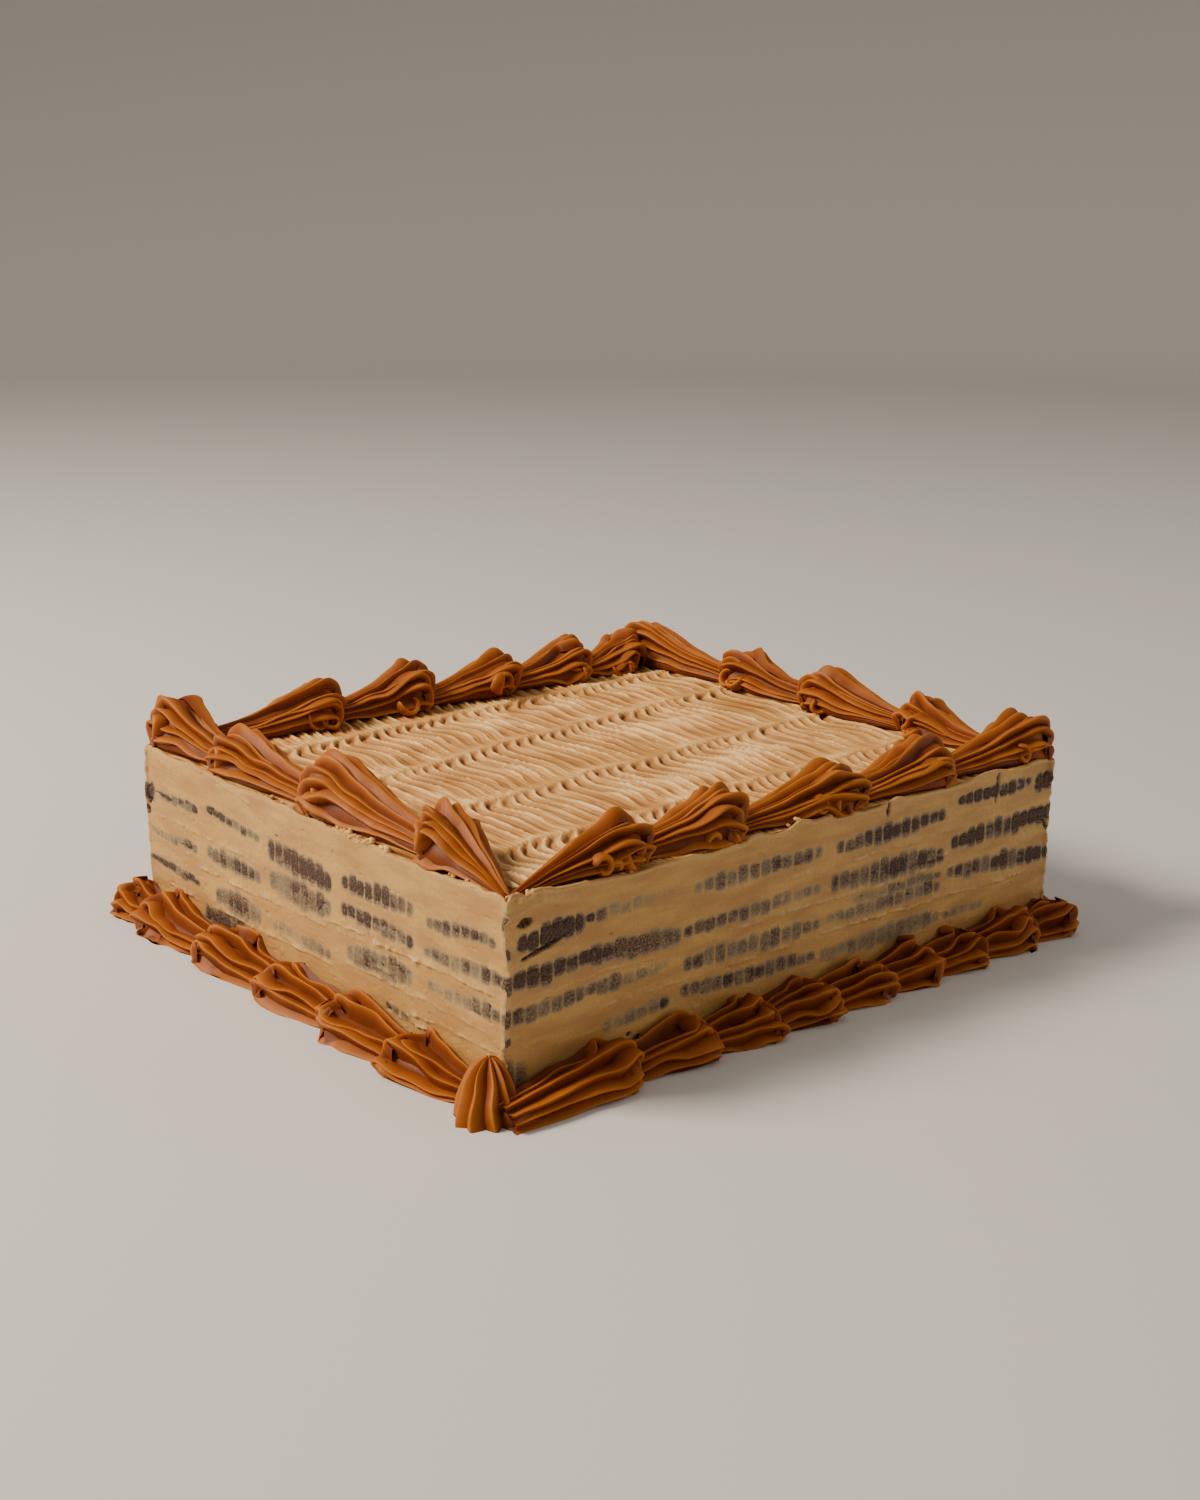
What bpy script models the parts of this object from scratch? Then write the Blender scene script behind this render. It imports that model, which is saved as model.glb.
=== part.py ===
"""A chocotorta: five layers of chocolate biscuits in caramel cream, scraped thin at the sides,
combed on top, and bordered with piped dulce de leche shells round the top edge and the foot.

The cake stands on z = 0 with its centre on the origin. X runs along the long sides, Y along the
short ones. "Front" is the -Y side, "left" the -X side, "back" the +Y side, "right" the +X side.
"""

import math
import random

import bmesh
import bpy
from mathutils import Matrix, Vector

MM = 0.001
GAP = 0.3 * MM  # between neighbouring pieces

# The block of cream.
LENGTH = 278 * MM
DEPTH = 242 * MM
HEIGHT = 70 * MM

# Biscuit layers, from the bottom up: the height of the middle of each layer at the near corner
# (front left), and its rise towards the front right and the back left corners.
BISCUIT_THICKNESS = 6.5 * MM
LAYER_MIDDLES = [6.2 * MM, 18.4 * MM, 30.6 * MM, 42.6 * MM, 54.8 * MM]
LAYER_RISES_RIGHT = [-0.2 * MM, -0.8 * MM, 1.4 * MM, 3.4 * MM, 6.7 * MM]
LAYER_RISES_BACK = [-2.4 * MM, -6.2 * MM, -8.0 * MM, -6.0 * MM, -4.2 * MM]
BISCUITS_ALONG = 4
BISCUITS_DEEP = 5
BISCUIT_SETBACK = 0.5 * MM  # of the biscuits' edges behind the scraped cream
SLOT_OVERCUT = 1.0 * MM  # of a layer's slot past the sides of the block
JOINT_WIDTH = 3.2 * MM  # of cream between two biscuits
JOINT_REACH = 4.0 * MM  # how far that cream shows in from the side
CORNER_CREAM = 5.0 * MM

# The combed top: ridges across bands that run along X.
COMB_INSET = 13 * MM
RIDGE_PITCH = 7.2 * MM
COMB_DEPTH = 1.7 * MM
SEAM_DEPTH = 0.9 * MM
SEAM_STARTS = [40 * MM, 85 * MM, 130 * MM, 196 * MM]  # from the front side, at the left side
SEAM_RISES = [19 * MM, 27 * MM, 44 * MM, 17 * MM]  # further back by the right side
ROWS_IN_A_BAND = 4
RIDGE_SWAY = 2.0 * MM

# The shells of the top border. Along each side: where the tail of the first shell starts, then
# where each shell's head ends, measured from the near end of the side, and each shell's height.
TOP_BORDER = {
    "front": (10 * MM, [62 * MM, 108 * MM, 167 * MM, 220 * MM, 279 * MM], [15, 17, 15, 16, 16]),
    "left": (3 * MM, [56 * MM, 124 * MM, 193 * MM, 243 * MM], [18, 20, 15, 19]),
    "back": (28 * MM, [80 * MM, 127 * MM, 174 * MM, 218 * MM, 251 * MM], [18, 18, 17, 17, 16]),
    "right": (28 * MM, [65 * MM, 121 * MM, 171 * MM, 239 * MM], [16, 17, 16, 18]),
}
TOP_AXIS_INSET = 12.5 * MM
TOP_HALF_WIDTH = 13.5 * MM
TOP_CRESTS = 7
TOP_TAIL_LEAN = 8.5 * MM  # of the two tails that meet at the near corner, towards the edge

# The shells of the foot border, which lean in the angle of wall and floor.
FOOT_BORDER = {
    "front": (-9 * MM, [45 * MM, 81 * MM, 110 * MM, 139 * MM, 170 * MM, 196 * MM, 224 * MM,
                        255 * MM, 283 * MM]),
    "left": (13 * MM, [49 * MM, 87 * MM, 130 * MM, 175 * MM, 224 * MM, 252 * MM]),
    "back": (1 * MM, [38 * MM, 70 * MM, 99 * MM, 131 * MM, 160 * MM, 191 * MM, 220 * MM,
                      251 * MM, 284 * MM]),
    "right": (1 * MM, [40 * MM, 78 * MM, 121 * MM, 160 * MM, 203 * MM, 241 * MM]),
}
FOOT_REACH = 21 * MM  # out over the floor
FOOT_CLIMB = 13.5 * MM  # up the wall
FOOT_BULGE = 7.5 * MM  # past the straight line between the two
FOOT_CRESTS = 5
FOOT_TAIL_LEAN = 9 * MM  # outwards, of the tail that passes the near corner

# The upright shell that closes the foot border at the near corner.
STAR_HEIGHT = 19 * MM
STAR_RADIUS = 10.5 * MM
STAR_TIP = 0.15  # of the radius, at the top
STAR_CRESTS = 9
STAR_OUT = 12.5 * MM  # from the left side to the middle of its foot
STAR_ALONG = 1.5 * MM  # from the front side to the middle of its foot
STAR_LEAN = 4 * MM  # of its top towards the cake

RIDGE_DEPTH = 0.26  # of a piped ridge, as a share of the shell's size
SIDES = {  # where each side starts, its direction and the way out of it
    "front": (Vector((-LENGTH / 2, -DEPTH / 2, 0)), Vector((1, 0, 0)), Vector((0, -1, 0))),
    "left": (Vector((-LENGTH / 2, -DEPTH / 2, 0)), Vector((0, 1, 0)), Vector((-1, 0, 0))),
    "back": (Vector((-LENGTH / 2, DEPTH / 2, 0)), Vector((1, 0, 0)), Vector((0, 1, 0))),
    "right": (Vector((LENGTH / 2, -DEPTH / 2, 0)), Vector((0, 1, 0)), Vector((1, 0, 0))),
}
UP = Vector((0, 0, 1))


def clear_scene():
    for obj in list(bpy.data.objects):
        bpy.data.objects.remove(obj, do_unlink=True)


def new_collection(name):
    collection = bpy.data.collections.new(name)
    bpy.context.scene.collection.children.link(collection)
    return collection


def principled(name, colour, roughness):
    material = bpy.data.materials.new(name)
    material.use_nodes = True
    material.diffuse_color = (*colour, 1)
    shader = material.node_tree.nodes["Principled BSDF"]
    shader.inputs["Base Color"].default_value = (*colour, 1)
    shader.inputs["Roughness"].default_value = roughness
    shader.inputs["Metallic"].default_value = 0
    return material


def add_object(name, bm, collection, material):
    """A mesh object made of a finished bmesh, which is freed."""
    bmesh.ops.remove_doubles(bm, verts=bm.verts, dist=0.001 * MM)
    bmesh.ops.recalc_face_normals(bm, faces=bm.faces)
    mesh = bpy.data.meshes.new(name)
    bm.to_mesh(mesh)
    bm.free()
    obj = bpy.data.objects.new(name, mesh)
    if material:
        mesh.materials.append(material)
    collection.objects.link(obj)
    return obj


# ---- biscuits and cream


def side_outline(length, count, setback, grow):
    """A biscuit layer's edge along one side, as (distance along, distance in) points. The cream
    that stands between the biscuits and at the corners makes the steps."""
    points = []
    for i in range(count):
        start = i * length / count + JOINT_WIDTH / 2 if i else CORNER_CREAM
        end = (i + 1) * length / count - JOINT_WIDTH / 2 if i + 1 < count else length - CORNER_CREAM
        back_from = JOINT_REACH if i else CORNER_CREAM
        back_to = JOINT_REACH if i + 1 < count else CORNER_CREAM
        points += [(start - grow, back_from - grow), (start - grow, setback),
                   (end + grow, setback), (end + grow, back_to - grow)]
    return points


def layer_outline(setback, grow):
    """The outline of a biscuit layer, counter-clockwise from the near corner."""
    low_x, low_y = -LENGTH / 2, -DEPTH / 2
    along = side_outline(LENGTH, BISCUITS_ALONG, setback, grow)
    deep = side_outline(DEPTH, BISCUITS_DEEP, setback, grow)
    outline = [(low_x + s, low_y + d) for s, d in along]
    outline += [(-low_x - d, low_y + s) for s, d in deep]
    outline += [(-low_x - s, -low_y - d) for s, d in along]
    outline += [(low_x + d, -low_y - s) for s, d in deep]
    return outline


def layer_slab(index, setback, grow):
    """One biscuit layer, sloped as it lies in the cake. Its edge is set back from the sides."""
    bm = bmesh.new()
    half = BISCUIT_THICKNESS / 2 + grow
    outline = layer_outline(setback, grow)
    floor = bm.faces.new([bm.verts.new((x, y, -half)) for x, y in outline])
    lid = bmesh.ops.extrude_face_region(bm, geom=[floor])["geom"]
    raised = [v for v in lid if isinstance(v, bmesh.types.BMVert)]
    bmesh.ops.translate(bm, verts=raised, vec=(0, 0, 2 * half))
    for v in bm.verts:
        v.co.z += (LAYER_MIDDLES[index]
                   + LAYER_RISES_RIGHT[index] * (v.co.x / LENGTH + 0.5)
                   + LAYER_RISES_BACK[index] * (v.co.y / DEPTH + 0.5))
    return bm


def seam_distance(seam, x):
    """How far behind the front side a seam between two combed bands runs."""
    share = max(x / LENGTH + 0.5, 0.0)
    return SEAM_STARTS[seam] + SEAM_RISES[seam] * share ** 0.6


def comb_row(row, rows, x):
    """The y of a row of the combed top: rows follow the seams, and bunch evenly between them."""
    marks = [COMB_INSET] + [seam_distance(k, x) for k in range(len(SEAM_STARTS))]
    marks.append(DEPTH - COMB_INSET)
    place = row / rows * (len(marks) - 1)
    band = min(int(place), len(marks) - 2)
    share = place - band
    return -DEPTH / 2 + marks[band] * (1 - share) + marks[band + 1] * share, share


def comb_top(bm):
    """Cuts the inner part of the top into ridges, two columns of points a ridge."""
    top = max(bm.faces, key=lambda face: face.calc_center_median().z)
    bmesh.ops.inset_region(bm, faces=[top], thickness=COMB_INSET, use_even_offset=True)
    half_x, half_y = LENGTH / 2 - COMB_INSET, DEPTH / 2 - COMB_INSET
    columns = 2 * round(2 * half_x / RIDGE_PITCH)
    rows = ROWS_IN_A_BAND * (len(SEAM_STARTS) + 1)

    def inner():
        near = [v for v in bm.verts if v.co.z > HEIGHT - GAP
                and abs(v.co.x) < half_x + GAP and abs(v.co.y) < half_y + GAP]
        kept = set(near)
        faces = [f for f in bm.faces if all(v in kept for v in f.verts)]
        edges = {e for f in faces for e in f.edges}
        return near, list(edges), faces

    for count, size, normal in ((columns, half_x, Vector((1, 0, 0))), (rows, half_y, Vector((0, 1, 0)))):
        for i in range(1, count):
            near, edges, faces = inner()
            place = normal * (-size + 2 * size * i / count)
            bmesh.ops.bisect_plane(bm, geom=near + edges + faces, plane_co=place, plane_no=normal)
    for v in inner()[0]:
        column = round((v.co.x + half_x) / (2 * half_x) * columns)
        row = round((v.co.y + half_y) / (2 * half_y) * rows)
        if column in (0, columns) or row in (0, rows):
            continue
        y, share = comb_row(row, rows, v.co.x)
        at_seam = row % ROWS_IN_A_BAND == 0
        v.co.y = y
        v.co.x -= RIDGE_SWAY * math.sin(2 * math.pi * share)
        if column % 2 == 0:
            v.co.z -= COMB_DEPTH
        if at_seam:
            v.co.z -= SEAM_DEPTH


def build_cake(parts, cutters, cream, biscuit):
    bm = bmesh.new()
    bmesh.ops.create_cube(bm, size=1)
    bmesh.ops.scale(bm, vec=(LENGTH, DEPTH, HEIGHT), verts=bm.verts)
    bmesh.ops.translate(bm, vec=(0, 0, HEIGHT / 2), verts=bm.verts)
    comb_top(bm)
    block = add_object("cream", bm, parts, cream)
    for index in range(len(LAYER_MIDDLES)):
        number = index + 1
        add_object(f"biscuit_layer_{number}", layer_slab(index, BISCUIT_SETBACK, 0), parts, biscuit)
        slot = layer_slab(index, -SLOT_OVERCUT, GAP)
        cutter = add_object(f"biscuit_slot_{number}", slot, cutters, None)
        cutter.hide_render = True
        cutter.display_type = "WIRE"
        cut = block.modifiers.new(f"slot {number}", "BOOLEAN")
        cut.operation = "DIFFERENCE"
        cut.object = cutter


# ---- piped shells


def ridged(angle, crests, depth):
    """The distance out, as a share, at an angle round a piped ridge pattern with sharp crests."""
    return 1 - depth * (1 - abs(math.sin(crests * angle)))


def loft(bm, rings, tip):
    """A closed skin through rings of points, from a flat cap on the first ring to a point."""
    loops = [[bm.verts.new(point) for point in ring] for ring in rings]
    bm.faces.new(loops[0])
    for low, high in zip(loops, loops[1:]):
        for i in range(len(low)):
            bm.faces.new((low[i - 1], low[i], high[i], high[i - 1]))
    end = bm.verts.new(tip)
    for i in range(len(loops[-1])):
        bm.faces.new((loops[-1][i - 1], loops[-1][i], end))


def shell_rings(length, reach, crests, section, tail_steps, head_steps):
    """Rings from tail to nose. section(size, angle, lift, forward) gives a point: the first
    rings stand upright and grow, the last ones turn over the head and down to its foot."""
    angles = [math.pi * i / (2 * crests) for i in range(2 * crests + 1)]
    pivot = length - reach
    rings = []
    for share in tail_steps:
        rings.append(section(share, pivot * share, angles, 1.0, 0.0))
    for turn in head_steps:
        lift, forward = math.cos(turn), math.sin(turn)
        rings.append(section(1.0, pivot, angles, lift, forward * reach))
    return rings


def top_shell(length, height, lean, rng):
    """A shell that lies on the top, from its tail at the origin to its head along +X."""
    bm = bmesh.new()
    width = TOP_HALF_WIDTH * rng.uniform(0.95, 1.05)
    reach = min(width, length * 0.4)
    skew = rng.uniform(-0.12, 0.12)

    def section(share, x, angles, lift, forward):
        half = width * (0.22 + 0.78 * share ** 0.75)
        rise = height * (0.24 + 0.76 * share ** 1.4)
        aside = lean * (1 - share) ** 2
        ring = []
        for angle in angles:
            out = ridged(angle, TOP_CRESTS, RIDGE_DEPTH)
            up = math.sin(angle) * out
            y = aside + half * math.cos(angle) * out + skew * half * up * lift
            ring.append(Vector((x + forward * up, y, rise * up * lift)))
        return ring

    rings = shell_rings(length, reach, TOP_CRESTS, section, (0, 0.3, 0.66, 1),
                        [math.radians(a) for a in (35, 65, 90)])
    loft(bm, rings, Vector((length - reach * 0.5, 0, 0)))
    return bm


def foot_shell(length, lean, rng):
    """A shell in the angle of a wall, the XZ plane, and the floor, from its tail along +X. It
    stands out along +Y, and its flat back and underside lie against wall and floor."""
    bm = bmesh.new()
    size = rng.uniform(0.94, 1.0)
    climb = FOOT_CLIMB * rng.uniform(0.92, 1.06)
    reach = min(FOOT_REACH * 0.55, length * 0.4)

    def section(share, x, angles, lift, forward):
        grown = size * (0.45 + 0.55 * share ** 0.9)
        high, out = climb * grown, FOOT_REACH * grown
        middle = Vector((0, out / 2, high / 2))
        across = Vector((0, out / 2, -high / 2))
        away = Vector((0, high, out)).normalized()
        bulge = FOOT_BULGE * grown
        aside = Vector((x, lean * (1 - share) ** 2, 0))
        ring = [aside]
        for angle in angles:
            ridge = ridged(angle, FOOT_CRESTS, RIDGE_DEPTH)
            up = math.sin(angle) * ridge
            point = middle - across * math.cos(angle) + away * bulge * up * lift
            point += away * (ridge - 1 + RIDGE_DEPTH) * bulge * math.sin(angle) * lift
            ring.append(point + aside + Vector((forward * up, 0, 0)))
        return ring

    rings = shell_rings(length, reach, FOOT_CRESTS, section, (0, 0.45, 1),
                        [math.radians(a) for a in (45, 90)])
    loft(bm, rings, Vector((length - reach * 0.5, 0, 0)))
    return bm


def corner_star():
    """An upright shell with ridges all round, beside the cake's near corner, at the origin."""
    bm = bmesh.new()
    centre = Vector((-STAR_OUT, STAR_ALONG, 0))
    top = Vector((STAR_LEAN, 0, STAR_HEIGHT))
    rings = []
    for share in (0, 0.3, 0.65, 0.9):
        radius = STAR_RADIUS * max(math.cos(share * math.pi / 2), STAR_TIP) ** 0.7
        ring = []
        for i in range(2 * STAR_CRESTS):
            angle = math.pi * i / STAR_CRESTS
            out = radius * (1 if i % 2 else 1 - RIDGE_DEPTH)
            place = Vector((math.cos(angle), math.sin(angle), 0)) * out
            ring.append(centre + place + top * share)
        rings.append(ring)
    loft(bm, rings, centre + top)
    return bm


def place_on_side(bm, side, distance, out, height):
    """Moves a shell made along +X to a side, with its own +Y outwards."""
    start, along, outward = SIDES[side]
    place = Matrix((along, outward, UP)).transposed().to_4x4()
    place.translation = start + along * distance + outward * out + UP * height
    bmesh.ops.transform(bm, matrix=place, verts=bm.verts)


def build_top_border(parts, material):
    rng = random.Random(18)
    for side, (first, heads, heights) in TOP_BORDER.items():
        tails = [first] + [head + GAP for head in heads[:-1]]
        for i, (tail, head, height) in enumerate(zip(tails, heads, heights)):
            at_near_corner = i == 0 and side in ("front", "left")
            lean = TOP_TAIL_LEAN if at_near_corner else 0
            bm = top_shell(head - tail, height * MM, lean, rng)
            place_on_side(bm, side, tail, -TOP_AXIS_INSET, HEIGHT + GAP)
            add_object(f"top_shell_{side}_{i + 1}", bm, parts, material)


def build_foot_border(parts, material):
    rng = random.Random(31)
    for side, (first, heads) in FOOT_BORDER.items():
        tails = [first] + [head + GAP for head in heads[:-1]]
        for i, (tail, head) in enumerate(zip(tails, heads)):
            at_near_corner = i == 0 and side == "front"
            bm = foot_shell(head - tail, FOOT_TAIL_LEAN if at_near_corner else 0, rng)
            place_on_side(bm, side, tail, GAP, 0)
            add_object(f"foot_shell_{side}_{i + 1}", bm, parts, material)
    bm = corner_star()
    bmesh.ops.translate(bm, verts=bm.verts, vec=SIDES["front"][0])
    add_object("foot_shell_near_corner", bm, parts, material)


def main():
    clear_scene()
    parts = new_collection("chocotorta")
    cutters = new_collection("cutters")
    cream = principled("caramel cream", (0.60, 0.40, 0.20), 0.55)
    biscuit = principled("chocolate biscuit", (0.06, 0.03, 0.02), 0.8)
    dulce = principled("dulce de leche", (0.42, 0.15, 0.04), 0.35)
    build_cake(parts, cutters, cream, biscuit)
    build_top_border(parts, dulce)
    build_foot_border(parts, dulce)


main()
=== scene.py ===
import math
import random

import bmesh
import bpy
import numpy as np
from mathutils import Matrix, Vector


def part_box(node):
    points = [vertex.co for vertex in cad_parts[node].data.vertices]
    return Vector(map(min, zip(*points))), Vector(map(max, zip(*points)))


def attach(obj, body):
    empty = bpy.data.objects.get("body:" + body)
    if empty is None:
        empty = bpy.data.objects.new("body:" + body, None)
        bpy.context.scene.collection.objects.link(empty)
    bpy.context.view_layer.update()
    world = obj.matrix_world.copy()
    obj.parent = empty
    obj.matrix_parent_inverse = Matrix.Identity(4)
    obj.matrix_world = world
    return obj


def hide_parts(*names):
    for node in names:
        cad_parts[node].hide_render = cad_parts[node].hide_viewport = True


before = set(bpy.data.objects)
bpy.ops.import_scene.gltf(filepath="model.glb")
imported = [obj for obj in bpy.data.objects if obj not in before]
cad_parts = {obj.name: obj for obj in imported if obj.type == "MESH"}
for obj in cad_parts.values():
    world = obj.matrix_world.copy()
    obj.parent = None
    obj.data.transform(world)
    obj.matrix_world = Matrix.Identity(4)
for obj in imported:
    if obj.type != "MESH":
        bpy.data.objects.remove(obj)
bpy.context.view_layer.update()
mm = 0.001

# The cake block, in millimetres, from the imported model. s runs along a side from its near end.
blockLow, blockHigh = (np.array(corner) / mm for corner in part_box("cream"))
length, depth, height = blockHigh - blockLow
sides = {  # start of the side, its direction, the way out, its length
    "front": ((blockLow[0], blockLow[1]), (1, 0), (0, -1), length),
    "left": ((blockLow[0], blockLow[1]), (0, 1), (-1, 0), depth),
    "back": ((blockLow[0], blockHigh[1]), (1, 0), (0, 1), length),
    "right": ((blockHigh[0], blockLow[1]), (0, 1), (1, 0), depth),
}
noiseLook = {"primes": (73856093, 19349663, 83492791), "mixer": 1274126177, "seedShift": 17.13}


def onSide(side, s, out, z):
    start, along, outward, _ = sides[side]
    x = start[0] + along[0] * s + outward[0] * out
    y = start[1] + along[1] * s + outward[1] * out
    return np.stack([x, y, z + 0 * x], axis=-1)


def softNoise(points, size, seed=0):
    # smooth random values from -1 to 1, in lumps about `size` mm apart (one size or one for each axis)
    p = points / np.array(size) + seed * noiseLook["seedShift"]
    cell = np.floor(p).astype(np.int64)
    f = p - cell
    f = f * f * (3 - 2 * f)
    total = np.zeros(len(p))
    for corner in range(8):
        step = (corner & 1, corner >> 1 & 1, corner >> 2 & 1)
        mixed = np.zeros(len(p), np.int64)
        weight = np.ones(len(p))
        for axis, prime in enumerate(noiseLook["primes"]):
            mixed ^= (cell[:, axis] + step[axis]) * prime
            weight *= f[:, axis] if step[axis] else 1 - f[:, axis]
        mixed = (mixed ^ (mixed >> 13)) * noiseLook["mixer"]
        total += weight * (((mixed ^ (mixed >> 16)) & 0xFFFF) / 32767.5 - 1)
    return total


def noiseLayer(points, layer):
    strength, size, seed = layer
    return strength * softNoise(points, size, seed)


def noiseStack(points, layers):
    return sum(noiseLayer(points, layer) for layer in layers)


def onLine(s):
    return np.stack([s, 0 * s, 0 * s], axis=-1)


def lineNoise(s, size, seed):
    return softNoise(onLine(s), size, seed)


def smoothStep(low, high, value):
    t = np.clip((value - low) / (high - low), 0, 1)
    return t * t * (3 - 2 * t)


def setValues(mesh, values):
    # named point values for the materials: an array, or one number for every point
    for key, value in values.items():
        attribute = mesh.attributes.new(key, "FLOAT", "POINT")
        attribute.data.foreach_set("value", np.full(len(mesh.vertices), value, np.float32))


def wrapGrid(name, columns, rows, place):
    # a flat grid laid over the surface that place(u, v) gives in mm, with its named point values
    bm = bmesh.new()
    bmesh.ops.create_grid(bm, x_segments=columns, y_segments=rows, size=0.5)
    mesh = bpy.data.meshes.new(name)
    bm.to_mesh(mesh)
    bm.free()
    flat = np.empty(len(mesh.vertices) * 3, np.float32)
    mesh.vertices.foreach_get("co", flat)
    flat = flat.reshape(-1, 3).astype(float)
    flat = (flat - flat.min(0)) / np.maximum(flat.max(0) - flat.min(0), 1e-9)
    points, values = place(flat[:, 0], flat[:, 1])
    mesh.vertices.foreach_set("co", (points * mm).astype(np.float32).ravel())
    setValues(mesh, values)
    return mesh


def closeMesh(mesh, backing=None, merge=0.02):
    # merges poles and seams, carries the open edge to a backing if there is one, and fills it
    bm = bmesh.new()
    bm.from_mesh(mesh)
    bmesh.ops.remove_doubles(bm, verts=bm.verts, dist=merge * mm)
    edge = [e for e in bm.edges if e.is_boundary]
    if backing:
        made = bmesh.ops.extrude_edge_only(bm, edges=edge)["geom"]
        for v in made:
            if isinstance(v, bmesh.types.BMVert):
                v.co = backing(v.co)
        for e in edge:
            e.smooth = False
        edge = [e for e in bm.edges if e.is_boundary]
    bmesh.ops.holes_fill(bm, edges=edge, sides=0)
    bmesh.ops.recalc_face_normals(bm, faces=bm.faces)
    if bm.calc_volume(signed=True) < 0:  # a thin rib can come out of that inside out
        bmesh.ops.reverse_faces(bm, faces=bm.faces)
    bm.to_mesh(mesh)
    bm.free()
    return mesh


def addPiece(name, mesh, material, nodes, sharp=75):
    piece = bpy.data.objects.new(name, mesh)
    bpy.context.scene.collection.objects.link(piece)
    mesh.materials.append(material)
    mesh.shade_smooth()
    mesh.set_sharp_from_angle(angle=math.radians(sharp))
    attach(piece, "root")
    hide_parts(*nodes)
    return piece


def colour(code):
    # sRGB hex to linear
    parts = [int(code[i:i + 2], 16) / 255 for i in (1, 3, 5)]
    return [p / 12.92 if p <= 0.04045 else ((p + 0.055) / 1.055) ** 2.4 for p in parts] + [1]


def fillInputs(tree, node, inputs):
    for key, value in inputs.items():
        if isinstance(value, bpy.types.NodeSocket):
            tree.links.new(value, node.inputs[key])
        else:
            node.inputs[key].default_value = value


def addNode(tree, kind, inputs=None, stops=None, **settings):
    node = tree.nodes.new(kind)
    for key, value in settings.items():
        setattr(node, key, value)
    fillInputs(tree, node, inputs or {})
    if stops:
        ramp = node.color_ramp.elements
        while len(ramp) < len(stops):
            ramp.new(0.5)
        for element, (position, code) in zip(ramp, stops):
            element.position = position
            element.color = colour(code)
    return node


def newMaterial(name):
    material = bpy.data.materials.new(name)
    material.use_nodes = True
    tree = material.node_tree
    return material, tree, tree.nodes["Principled BSDF"]


def perMm(size):
    return 1 / (size * mm)  # noise scale for lumps of that size


creamFinish = {  # of both creams
    "Roughness": 0.55, "Subsurface Weight": 0.25, "Subsurface Radius": (1.0, 0.55, 0.3),
    "Subsurface Scale": 0.7 * mm, "IOR": 1.45,
}
scrapedLook = {
    "pale": "#E3AB52", "deep": "#C88B3A", "film": "#8E8062", "ridge": "#E8BE7C",
    "bareDark": "#38221A", "bareLight": "#64442E", "speck": "#967C5C",
    "bands": (24.0, 24.0, 6.0), "drag": (14.0, 14.0, 1.1), "grain": 0.9, "pores": 0.7, "mottle": 0.7,
}


def makeScrapedCream():
    # Whipped cream cheese and dulce de leche, scraped flat with a bench knife: satin, with faint
    # level drag marks. A thin film over dark biscuit turns grey-brown.
    look = scrapedLook
    material, tree, shader = newMaterial("scraped caramel cream")
    place = addNode(tree, "ShaderNodeTexCoord").outputs["Object"]
    film = addNode(tree, "ShaderNodeAttribute", attribute_name="film").outputs["Fac"]
    ridge = addNode(tree, "ShaderNodeAttribute", attribute_name="ridge").outputs["Fac"]
    bands = addNode(tree, "ShaderNodeMapping",
                    {"Vector": place, "Scale": [perMm(size) for size in look["bands"]]})
    lumps = addNode(tree, "ShaderNodeTexNoise", {"Vector": bands.outputs["Vector"], "Scale": 1, "Detail": 4})
    lumpTone = addNode(tree, "ShaderNodeValToRGB", {"Fac": lumps.outputs["Fac"]},
                       stops=[(0.38, look["deep"]), (0.62, look["pale"])])
    # the pale of torn ridges, and a painted highlight on the scraper's steps and the rim's edge, mixed over
    # the lumps
    creamTone = addNode(tree, "ShaderNodeMix",
                        {"Factor": ridge, "A": lumpTone.outputs["Color"],
                         "B": colour(look["ridge"])}, data_type="RGBA")
    # how much cream covers the biscuit, mottled by the grain
    grain = addNode(tree, "ShaderNodeTexNoise",
                    {"Vector": place, "Scale": perMm(look["grain"]), "Detail": 3})
    mottled = addNode(tree, "ShaderNodeMath", {0: grain.outputs["Fac"], 1: look["mottle"], 2: film},
                      operation="MULTIPLY_ADD")
    shown = addNode(tree, "ShaderNodeMath", {0: mottled.outputs[0], 1: -look["mottle"] / 2},
                    operation="ADD").outputs[0]
    cover = addNode(tree, "ShaderNodeMapRange", {"Value": shown, "From Min": 0.2, "From Max": 1.55},
                    interpolation_type="SMOOTHSTEP")
    thin = addNode(tree, "ShaderNodeMapRange", {"Value": shown, "From Min": -0.05, "From Max": 0.55})
    pores = addNode(tree, "ShaderNodeTexNoise",
                    {"Vector": place, "Scale": perMm(look["pores"]), "Detail": 4})
    bare = addNode(tree, "ShaderNodeValToRGB", {"Fac": pores.outputs["Fac"]},
                   stops=[(0.36, look["bareDark"]), (0.52, look["bareLight"]), (0.66, look["speck"])])
    under = addNode(tree, "ShaderNodeMix",
                    {"Factor": thin.outputs["Result"], "A": bare.outputs["Color"],
                     "B": colour(look["film"])}, data_type="RGBA")
    tone = addNode(tree, "ShaderNodeMix",
                   {"Factor": cover.outputs["Result"], "A": under.outputs["Result"],
                    "B": creamTone.outputs["Result"]}, data_type="RGBA")
    level = addNode(tree, "ShaderNodeMapping",
                    {"Vector": place, "Scale": [perMm(size) for size in look["drag"]]})
    drag = addNode(tree, "ShaderNodeTexNoise", {"Vector": level.outputs["Vector"], "Scale": 1, "Detail": 2})
    dragBump = addNode(tree, "ShaderNodeBump",
                       {"Height": drag.outputs["Fac"], "Strength": 0.3, "Distance": 0.25 * mm})
    bump = addNode(tree, "ShaderNodeBump",
                   {"Height": grain.outputs["Fac"], "Normal": dragBump.outputs["Normal"], "Strength": 0.45,
                    "Distance": 0.3 * mm})
    fillInputs(tree, shader, {
        "Base Color": tone.outputs["Result"], "Normal": bump.outputs["Normal"], **creamFinish})
    return material


# valley and crest are painted shade and painted highlight on the combing
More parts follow.
